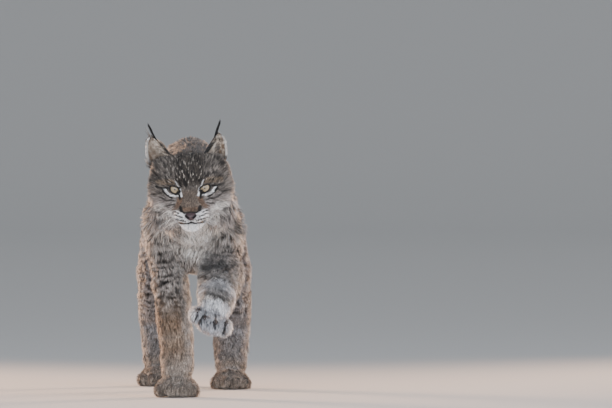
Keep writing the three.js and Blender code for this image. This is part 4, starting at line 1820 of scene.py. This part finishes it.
    @staticmethod
    def ruffle(tufts: Tufts, draw: np.random.Generator) -> Tufts:
        """Breaks the coat into soft clumps whose tips draw together, so that no two are alike.

        Args:
            tufts: The even coat.
            draw: Random draws.

        Returns:
            The ruffled coat.
        """
        points, count = tufts.roots, len(tufts.roots)
        across = np.cross(tufts.normals, tufts.lie)
        size = tufts.clump_mm()
        swirl = cloud(points, 1.6 * size, 3) - 0.5 + 0.4 * (cloud(points, size / 2.5, 4) - 0.5)
        swirl = 0.6 * swirl + draw.normal(0, 0.1, count)
        lie = unit(tufts.lie + across * swirl[:, None])
        pull, _ = nearest_seed(points, size, CLUMP_SEED)
        pull -= dots(pull, tufts.normals)[:, None] * tufts.normals
        clump = 0.75 + 0.5 * cloud(points, size, 5)
        length = tufts.length * clump * draw.uniform(0.78, 1.18, count)
        short = tufts.length < SHORT_MM
        lie = unit(lie * length[:, None] + np.where(short, 0.35, 0.6)[:, None] * pull)
        rise = tufts.rise * (0.5 + 0.6 * cloud(points, size, 6)) * draw.uniform(0.75, 1.25, count)
        rise *= np.where(short, 1.3, 0.85)
        width = tufts.width * draw.uniform(0.75, 1.25, count)
        return Tufts(points, tufts.normals, lie, length, width, rise, tufts.maps)

    def coloured(self, tufts: Tufts, lie: Array, draw: np.random.Generator) -> Array:
        """Colours each tuft by the places that it covers, so that spots keep their edges.

        Args:
            tufts: The ruffled coat.
            lie: The even lie of the coat.
            draw: Random draws.

        Returns:
            Colours near the root, further out and at the tip.
        """
        count = len(tufts.roots)
        size = tufts.clump_mm()
        _, own = nearest_seed(tufts.roots, size, CLUMP_SEED)
        tone = (0.72 + 0.56 * own) * draw.uniform(0.68, 1.32, count)
        kind = draw.random(count)
        tone = np.where(kind < 0.1, tone * 0.42, np.where(kind > 0.93, tone * 1.4, tone))
        rows = []
        for along in (0.2, 0.62, 0.95):
            shown = tufts.roots + tufts.lie * (along * tufts.length)[:, None]
            rows.append(self.markings.colours(shown, tufts.normals, lie, self.body.weights(shown)))
        return np.stack(rows) * tone[None, :, None]


@dataclass(frozen=True)
class EarCoat:
    """Hair on the ears: short on the sheet, long and pale inside the cup.

    Attributes:
        body: Gives the frames.
    """

    body: Body

    def ear_share(self, points: Array) -> Array:
        """Finds the ears' sheets.

        Args:
            points: Places in the body's millimetres.

        Returns:
            1 on a sheet and 0 elsewhere.
        """
        local = self.body.head.to_local(points)
        share = np.zeros(len(points))
        for side in Side:
            u, v, ahead = Ear(side).coordinates(local)
            near = (np.abs(u) < 1.15) & (v > 0.02) & (ahead < 2) & (ahead > -9)
            near &= (local[:, 0] * side.value > 8) & (local[:, 2] > 44 - 0.1 * np.abs(local[:, 0]))
            share = np.maximum(share, near)
        return share

    def apply(
        self, roots: Array, normals: Array, lie: Array, depth: Array, length: Array, width: Array
    ) -> tuple[Array, Array, Array, Array]:
        """Changes the growth of the tufts that root on an ear.

        Args:
            roots: Where the tufts grow, in the body's millimetres.
            normals: Outward directions there.
            lie: Their lie.
            depth: How far their tips stand off.
            length: Their lengths.
            width: Their widths.

        Returns:
            The changed lie, depth, length and width.
        """
        share = self.ear_share(roots) > 0.5
        local = self.body.head.to_local(roots)
        for side in Side:
            ear = Ear(side)
            up, _, across, _ = ear.axes()
            mirror = np.array([side.value, 1, 1])
            mine = share & (local[:, 0] * side.value > 0)
            u, v, off = ear.coordinates(local)
            inside = off > -2.2
            lean = np.where(inside[:, None], up + (0.2 + 0.9 * ramp(u, 0.1, -0.8))[:, None] * across, up)
            lean = self.body.head.turn_to_body(unit(lean) * mirror)
            lean = unit(lean - 0.8 * dots(lean, normals)[:, None] * normals)
            lie = np.where(mine[:, None], lean, lie)
            long_hair = inside & (u < 0.2) & (v < 0.7)
            length = np.where(mine, np.where(long_hair, 21.0, 6.5), length)
            depth = np.where(mine, np.where(long_hair, 6.0, 1.4), depth)
            width = np.where(mine, np.where(long_hair, 0.9, 1.0), width)
        return lie, depth, length, width


@dataclass(frozen=True)
class EarTufts:
    """The black tassel on each ear's tip.

    Attributes:
        body: Gives the frames.
        count: Hairs in one tassel.
        length_mm: Their length.
    """

    body: Body
    count: int = 150
    length_mm: float = 33.0

    def build(self) -> None:
        """Makes both tassels."""
        draw = np.random.default_rng(SEED + 300)
        for side in Side:
            ear = Ear(side)
            up, ahead, _, _ = ear.axes()
            v = draw.uniform(0.87, 0.985, self.count)
            u = draw.uniform(-1, -0.1, self.count)
            back = draw.integers(0, 2, self.count).astype(float)
            local = ear.surface(u, v, back)
            mirror = np.array([side.value, 1, 1])
            tip = np.array(ear.tip) + up * 30 + np.array([4.0, -3.0, 4.0])
            aim = unit(tip * mirror - local)
            aim = unit(aim + draw.normal(0, 0.03, (self.count, 3)))
            normals = self.body.head.turn_to_body(np.tile(ahead * mirror, (self.count, 1)))
            lie = self.body.head.turn_to_body(aim)
            tufts = Tufts(
                self.body.head.to_body(local),
                normals,
                lie,
                self.length_mm * (0.62 + 0.38 * v) * draw.uniform(0.75, 1.1, self.count),
                draw.uniform(0.7, 1.1, self.count),
                draw.normal(0.3, 0.9, self.count),
                np.column_stack([u / 2 + 0.5, v]).clip(0, 1),
                np.tile(Tint.BLACK.light, (3, self.count, 1)),
            )
            made = tufts.build(f"ear_tuft_{side.name.lower()}", self.body, SEED + 301)
            # Coarse black hair, duller than the coat, so that the tassel stays a dark line
            made.data.materials.append(FurFinish("black_tuft_hair", sheen=0.1).make())
            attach(made, "root")


# Bare parts


@dataclass(frozen=True)
class Eyes:
    """Both eyeballs, with a raised cornea, and the dark wet rims of the lids.

    Attributes:
        body: Gives the frames.
        cornea_mm: How far the cornea stands proud.
        rim_mm: Half thickness of the lids' rims.
        raised: Degrees that the gaze is turned up, into the opening of the lids.
    """

    body: Body
    cornea_mm: float = 1.3
    rim_mm: float = 0.85
    raised: float = 14.0

    def build(self) -> None:
        """Makes the eyes and the rims of the lids."""
        wet = EyeFinish().make()
        # Wet dark skin: a thin glint along the lids' edge
        rim = LeatherFinish("lid_rim_skin", "#1a1412", "#0c0908", 0.9, 0.1, 0.34).make()
        for side in Side:
            label = side.name.lower()
            ball = self.ball(EyeSocket(side), f"eyeball_{label}")
            ball.data.materials.append(wet)
            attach(ball, "root")
            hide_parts(f"eye_{label}")
            edge = self.rims(EyeSocket(side), f"lid_rim_{label}")
            edge.data.materials.append(rim)
            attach(edge, "root")

    def ball(self, socket: EyeSocket, name: str) -> bpy.types.Object:
        """Makes one eyeball.

        Args:
            socket: Where it sits.
            name: Name of the piece.

        Returns:
            The object, with a map of the distance from the gaze.
        """
        bm = bmesh.new()
        bmesh.ops.create_uvsphere(bm, u_segments=56, v_segments=36, radius=1)
        layer = bm.loops.layers.uv.new("iris")
        for face in bm.faces:
            for loop in face.loops:
                place = loop.vert.co
                scale = 1 if place.z > 0 else 1 / max(math.hypot(place.x, place.y), 1e-6)
                loop[layer].uv = (place.x * scale, place.y * scale)
        axes = socket.axes()
        raised = math.radians(self.raised)
        up, gaze = axes[1], axes[2]
        axes[2] = gaze * math.cos(raised) + up * math.sin(raised)
        axes[1] = up * math.cos(raised) - gaze * math.sin(raised)
        for vert in bm.verts:
            angle = math.acos(max(-1.0, min(1.0, vert.co.z)))
            rise = float(ramp(np.array(angle), math.radians(48), math.radians(20)))
            radius = socket.radius + self.cornea_mm * rise - 0.15
            local = socket.centre() + np.array(vert.co) @ axes * radius
            vert.co = self.body.head_to_scene(local)
        bmesh.ops.recalc_face_normals(bm, faces=bm.faces)
        return mesh_object(name, bm)

    def rims(self, socket: EyeSocket, name: str) -> bpy.types.Object:
        """Makes the rolled rim of both lids of one eye.

        Args:
            socket: Which eye.
            name: Name of the piece.

        Returns:
            The object.
        """
        angles = np.linspace(0, 2 * math.pi, 64, endpoint=False)
        line = socket.on_ball(socket.rim(angles), socket.radius + 0.75)
        radii = np.full(len(line), self.rim_mm * MM)
        return tube(name, self.body.head_to_scene(line), radii, closed=True)


def tube(name: str, points: Array, radii: Array, closed: bool = False, sides: int = 10) -> bpy.types.Object:
    """Makes a round tube along points.

    Args:
        name: Name of the piece.
        points: Places along it, in metres.
        radii: Its radius at each point.
        closed: Whether it returns to its start.
        sides: Faces round it.

    Returns:
        The object.
    """
    line = bpy.data.curves.new(name, "CURVE")
    line.dimensions = "3D"
    line.bevel_depth = 1.0
    line.bevel_resolution = max(0, sides // 2 - 2)
    line.use_fill_caps = not closed
    spline = line.splines.new("POLY")
    spline.points.add(len(points) - 1)
    for point, place, radius in zip(spline.points, points, radii):
        point.co = (*place, 1)
        point.radius = radius
    spline.use_cyclic_u = closed
    spare = bpy.data.objects.new(name, line)
    bpy.context.scene.collection.objects.link(spare)
    graph = bpy.context.evaluated_depsgraph_get()
    mesh = bpy.data.meshes.new_from_object(spare.evaluated_get(graph))
    bpy.data.objects.remove(spare)
    bpy.data.curves.remove(line)
    bm = bmesh.new()
    bm.from_mesh(mesh)
    bpy.data.meshes.remove(mesh)
    bmesh.ops.remove_doubles(bm, verts=bm.verts, dist=1e-6)
    bmesh.ops.recalc_face_normals(bm, faces=bm.faces)
    return mesh_object(name, bm)


# How far ahead of the eyes the rays start that seat the lips and whiskers on the skin
RAY_MM = 120.0


@dataclass(frozen=True)
class Muzzle:
    """The nose's leather, the lips and the whiskers.

    Attributes:
        body: Gives the frames.
        skin: What the lips lie on.
        nose: The middle of the leather, in the head's millimetres.
        half: Its half width, depth and height.
        tilt: Degrees that its face leans back.
        lip_half: Half the length of the lips.
        whiskers: Whiskers on each side.
    """

    body: Body
    skin: Skin
    nose: tuple[float, float, float] = NOSE_CENTRE
    half: tuple[float, float, float] = (13.4, 11.4, 8.8)
    tilt: float = -14.0
    lip_half: float = 35.0
    whiskers: int = 10

    def build(self) -> None:
        """Makes all three."""
        self.leather()
        self.lips()
        self.whisker_set()

    def leather(self) -> None:
        """Makes the nose's leather: broad above, narrow at the lip, with its nostrils."""
        bm = bmesh.new()
        bmesh.ops.create_uvsphere(bm, u_segments=64, v_segments=44, radius=1)
        form = np.array([v.co for v in bm.verts])
        width = 0.45 + 0.55 * ramp(form[:, 2], -1, 0.3)
        side, deep, high = form[:, 0] * width, -form[:, 1], form[:, 2]
        local = np.column_stack([side, deep, high]) * self.half
        tilt = math.radians(self.tilt)
        turned = local.copy()
        turned[:, 1] = local[:, 1] * math.cos(tilt) - local[:, 2] * math.sin(tilt)
        turned[:, 2] = local[:, 1] * math.sin(tilt) + local[:, 2] * math.cos(tilt)
        ahead = ramp(turned[:, 1], 2, 7)
        flat = np.column_stack([np.abs(turned[:, 0]), turned[:, 2]])
        hole = stroke(flat, ((5.4, -1.2), (7.4, -0.2), (9.8, 2.2)), 2.5)
        groove = stroke(flat, ((0, -9), (0, 3)), 1.5)
        turned[:, 1] -= ahead * (4.6 * hole + 0.9 * groove)
        places = self.body.head_to_scene(turned + np.array(self.nose))
        for vert, place in zip(bm.verts, places):
            vert.co = place
        bmesh.ops.recalc_face_normals(bm, faces=bm.faces)
        made = mesh_object("nose_leather", bm)
        # Moist pebbled leather: small soft highlights on a brown-pink ground
        finish = LeatherFinish("moist_nose_leather", "#564649", "#2a2021", 0.9, 0.18, 0.42)
        made.data.materials.append(finish.make())
        # Painted shade: the nostrils are near black, as the shade deep inside them, so that they read as
        # open holes
        inner = LeatherFinish("nostril_painted_shade", "#0d0909", "#050404", 0.9, 0.1, 0.5)
        made.data.materials.append(inner.make())
        sunk = ahead * hole > 0.35
        for face in made.data.polygons:
            face.material_index = int(all(sunk[i] for i in face.vertices))
        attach(made, "root")
        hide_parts("nose")

    def on_skin(self, local: Array, aim: Array) -> Vector | None:
        """Finds where a ray from ahead of the face meets the skin.

        Args:
            local: Where it starts, in the head's millimetres.
            aim: Its direction in the scene.

        Returns:
            The place in metres, or None where the ray misses.
        """
        graph = bpy.context.evaluated_depsgraph_get()
        start = Vector(self.body.head_to_scene(local))
        hit, place, _, _ = self.skin.made.ray_cast(start, Vector(aim), depsgraph=graph)
        return place if hit else None

    def lips(self) -> None:
        """Lays a dark, thin, tapered lip along the line of the mouth."""
        pitch = math.radians(self.body.head.pitch)
        run = np.linspace(-self.lip_half, self.lip_half, 57)
        line = np.array(MOUTH_LINE)
        high = np.interp(np.abs(run), line[:, 0], line[:, 1])
        _, ahead, above = self.body.head.axes()
        aim = ahead * -math.cos(pitch) - above * math.sin(pitch)
        found, radii = [], []
        for across, up in zip(run, high):
            start = [across, RAY_MM, (up + RAY_MM * math.sin(pitch)) / math.cos(pitch)]
            place = self.on_skin(np.array(start), aim)
            if place is not None:
                found.append(place)
                radii.append((2.3 - 1.7 * (abs(across) / self.lip_half) ** 2) * MM)
        made = tube("lips", np.array(found), np.array(radii))
        # Dark moist skin: the mouth reads as one soft line
        made.data.materials.append(LeatherFinish("lip_skin", "#1d1614", "#0e0a09", 1.2, 0.1, 0.4).make())
        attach(made, "root")

    def whisker_set(self) -> None:
        """Makes the whiskers: stiff, white, bowed down under their own weight."""
        draw = np.random.default_rng(SEED + 400)
        aim = -self.body.head.axes()[1]
        pieces = bmesh.new()
        for side in Side:
            for k in range(self.whiskers):
                row, column = k % 4, k // 4
                across = side.value * (19 + 6.5 * column + draw.uniform(-1, 1))
                high = -40 - 5.2 * row + 1.2 * column
                place = self.on_skin(np.array([across, RAY_MM, high]), aim)
                if place is not None:
                    self.whisker(pieces, np.array(place), side, draw.uniform(40, 66), draw)
        made = mesh_object("whiskers", pieces)
        # Smooth white keratin: fine bright lines
        made.data.materials.append(PlainFinish("whisker_keratin", "#e9e6e1", 0.4).make())
        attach(made, "root")

    def whisker(
        self, bm: bmesh.types.BMesh, root: Array, side: Side, length: float, draw: np.random.Generator
    ) -> None:
        """Adds one whisker to a bmesh.

        Args:
            bm: The bmesh that is added to.
            root: Where it grows, in metres.
            side: Which side it points to.
            length: Its length in millimetres.
            draw: Random draws.
        """
        made = bmesh.ops.create_cone(
            bm, cap_ends=True, segments=4, radius1=0.26 * MM, radius2=0.05 * MM, depth=length * MM
        )["verts"]
        edges = {e for v in made for e in v.link_edges}
        long_ = [e for e in edges if abs(e.verts[0].co.z - e.verts[1].co.z) > 0.5 * length * MM]
        bmesh.ops.subdivide_edges(bm, edges=long_, cuts=7)
        mine = [v for v in bm.verts if not v.tag]
        out = unit(np.array([side.value, draw.uniform(-0.1, 0.3), draw.uniform(-0.45, -0.1)]))
        aim = self.body.head.turn_to_body(out)
        turn = Vector((0, 0, 1)).rotation_difference(Vector(aim))
        for vert in mine:
            t = vert.co.z / (length * MM) + 0.5
            place = turn @ (vert.co + Vector((0, 0, 0.5 * length * MM)))
            droop = Vector((0, 0, -1)) * (0.28 * t * t * length * MM)
            vert.co = Vector(root) + place + droop
            vert.tag = True


@dataclass(frozen=True)
class FootPads:
    """The pads under the feet, which show through the fur of the soles.

    Attributes:
        body: Gives the frames.
    """

    body: Body

    @staticmethod
    def hung() -> tuple[Array, Array, float]:
        """The lifted foot.

        Returns:
            Its place, its axes as rows (across, ahead, up), and its size.
        """
        ahead = unit(np.array([-0.24, -0.9, -0.36]))
        across = np.array([0.92, 0, -0.39])
        across = unit(across - (across @ ahead) * ahead)
        up = -np.cross(ahead, across)
        place = np.array([34, -239, 172]) - 13 * ahead - 22 * up
        return place, np.array([-across, ahead, up]), 1.0

    def frames(self) -> list[tuple[Array, Array, float]]:
        """All four feet.

        Returns:
            For each, what `hung` gives.
        """
        level = np.array([[-1, 0, 0], [0, -1, 0], [0, 0, 1.0]])
        return [
            (np.array([-43, -68, 0.0]), level, 1.0),
            (np.array([-98, 478, 0.0]), level, 0.92),
            (np.array([70, 322, 0.0]), level, 0.92),
            self.hung(),
        ]

    def build(self) -> None:
        """Makes four toe pads and a main pad under each foot."""
        bm = bmesh.new()
        # Place across and ahead, half width and half length; the last is the main pad
        pads = [(-33, 24, 6, 9), (-12, 40, 6, 9), (12, 40, 6, 9), (33, 24, 6, 9), (0, -2, 15, 12)]
        for place, axes, size in self.frames():
            for across, ahead, wide, long_ in pads:
                made = bmesh.ops.create_uvsphere(bm, u_segments=20, v_segments=12, radius=1)["verts"]
                for vert in made:
                    form = np.array(vert.co) * [wide, long_, 5.0] + [across, ahead, 7.2]
                    vert.co = self.body.to_scene(place + (form * size) @ axes)
        bmesh.ops.recalc_face_normals(bm, faces=bm.faces)
        made = mesh_object("foot_pads", bm)
        # Dry, horny skin: dull, with coarse pebbles
        made.data.materials.append(LeatherFinish("pad_skin", "#3a2e2a", "#1d1614", 1.6, 0.3, 0.7).make())
        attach(made, "root")


# Studio


@dataclass(frozen=True)
class Studio:
    """A pale floor, soft light with a warm lamp behind, and the camera.

    Attributes:
        body: Gives the place of the eyes.
        distance: From the camera to the head, in metres.
        scale: Metres to a pixel of the picture at the head.
        eyes_at: Where the point between the eyes shows, in pixels.
        elevation: Degrees that the camera stands above the head.
    """

    body: Body
    distance: float = 14.6
    scale: float = 0.00215
    eyes_at: tuple[float, float] = (190.0, 188.6)
    elevation: float = 1.0

    def build(self) -> None:
        """Sets up the camera, the floor and the lights."""
        self.camera()
        self.floor()
        self.lights()

    def camera(self) -> None:
        """Places the camera so that the animal fills the same part of the picture."""
        eyes = self.body.to_scene(np.array(self.body.head.design_eyes))
        offset = (PHOTO_SIZE[0] / 2 - self.eyes_at[0], PHOTO_SIZE[1] / 2 - self.eyes_at[1])
        target = Vector((eyes[0] + offset[0] * self.scale, eyes[1], eyes[2] - offset[1] * self.scale))
        tilt = math.radians(self.elevation)
        back = Vector((0, -math.cos(tilt), math.sin(tilt))) * self.distance
        data = bpy.data.cameras.new("camera")
        data.sensor_width = 36
        data.lens = data.sensor_width / (PHOTO_SIZE[0] * self.scale) * self.distance
        data.clip_end = 100
        made = bpy.data.objects.new("camera", data)
        bpy.context.scene.collection.objects.link(made)
        made.location = target + back
        made.rotation_euler = (-back).to_track_quat("-Z", "Y").to_euler()
        bpy.context.scene.camera = made

    @staticmethod
    def floor() -> None:
        """Lays the floor, which curves up into a wall far behind."""
        bm = bmesh.new()
        made = bmesh.ops.create_grid(bm, x_segments=1, y_segments=48, size=1)["verts"]
        near, far, bend, top, half_width = -24.0, 17.0, 4.0, 12.0, 24.0
        arc = bend * math.pi / 2
        for vert in made:
            run = near + (vert.co.y / 2 + 0.5) * (far - near + arc + top)
            turn = min(max(run - far, 0.0), arc) / bend
            rise = max(run - far - arc, 0.0)
            place = min(run, far) + bend * math.sin(turn)
            vert.co = (vert.co.x * half_width, place, bend * (1 - math.cos(turn)) + rise)
        made = mesh_object("floor", bm)
        made.data.materials.append(PlainFinish("pale_studio_floor", "#cdcdcc", 0.9).make())

    @staticmethod
    def lights() -> None:
        """Hangs soft lamps: broad in front, and low warm ones behind for the bright outline."""
        world = bpy.data.worlds.new("studio")
        world.use_nodes = True
        shade = world.node_tree.nodes["Background"]
        shade.inputs["Color"].default_value = rgba(linear("#d4d8de"))
        shade.inputs["Strength"].default_value = 0.78
        bpy.context.scene.world = world
        # Name, place and size in metres, power in watts, spread in degrees, colour
        lamps = (
            ("front_lamp", (-1.8, -4.4, 2.2), 3.0, 104, 180, "#f2f4fa"),
            ("low_lamp", (0.2, -3.2, 0.25), 2.0, 64, 180, "#eef1f8"),
            ("side_lamp", (3.2, -2.2, 1.8), 2.4, 66, 180, "#eef1fb"),
            ("back_lamp", (-2.5, 2.4, 0.55), 0.9, 44, 50, "#ffcba4"),
            ("back_lamp_2", (2.6, 2.4, 0.55), 0.9, 34, 50, "#ffcfab"),
        )
        for name, place, size, power, spread, code in lamps:
            data = bpy.data.lights.new(name, "AREA")
            data.size = size
            data.energy = power
            data.spread = math.radians(spread)
            data.color = linear(code)
            made = bpy.data.objects.new(name, data)
            bpy.context.scene.collection.objects.link(made)
            made.location = place
            aim = Vector((0, -0.1, 0.4)) - Vector(place)
            made.rotation_euler = aim.to_track_quat("-Z", "Y").to_euler()
            made.visible_camera = False


def main() -> None:
    """Builds and dresses the animal, piece by piece."""
    body = Body()
    log.info("design point found at %s mm", np.round(body.shift, 2))
    markings = Markings(body)
    skin = Skin(body)
    skin.build()
    skin.dress(markings)
    log.info("skin: %d faces", len(skin.made.data.polygons))
    Coat(body, skin, markings).grow()
    for maker in (EarTufts(body), Eyes(body), Muzzle(body, skin), FootPads(body), Studio(body)):
        maker.build()
        log.info("%s: done", type(maker).__name__)


if __name__ == "__main__":
    main()
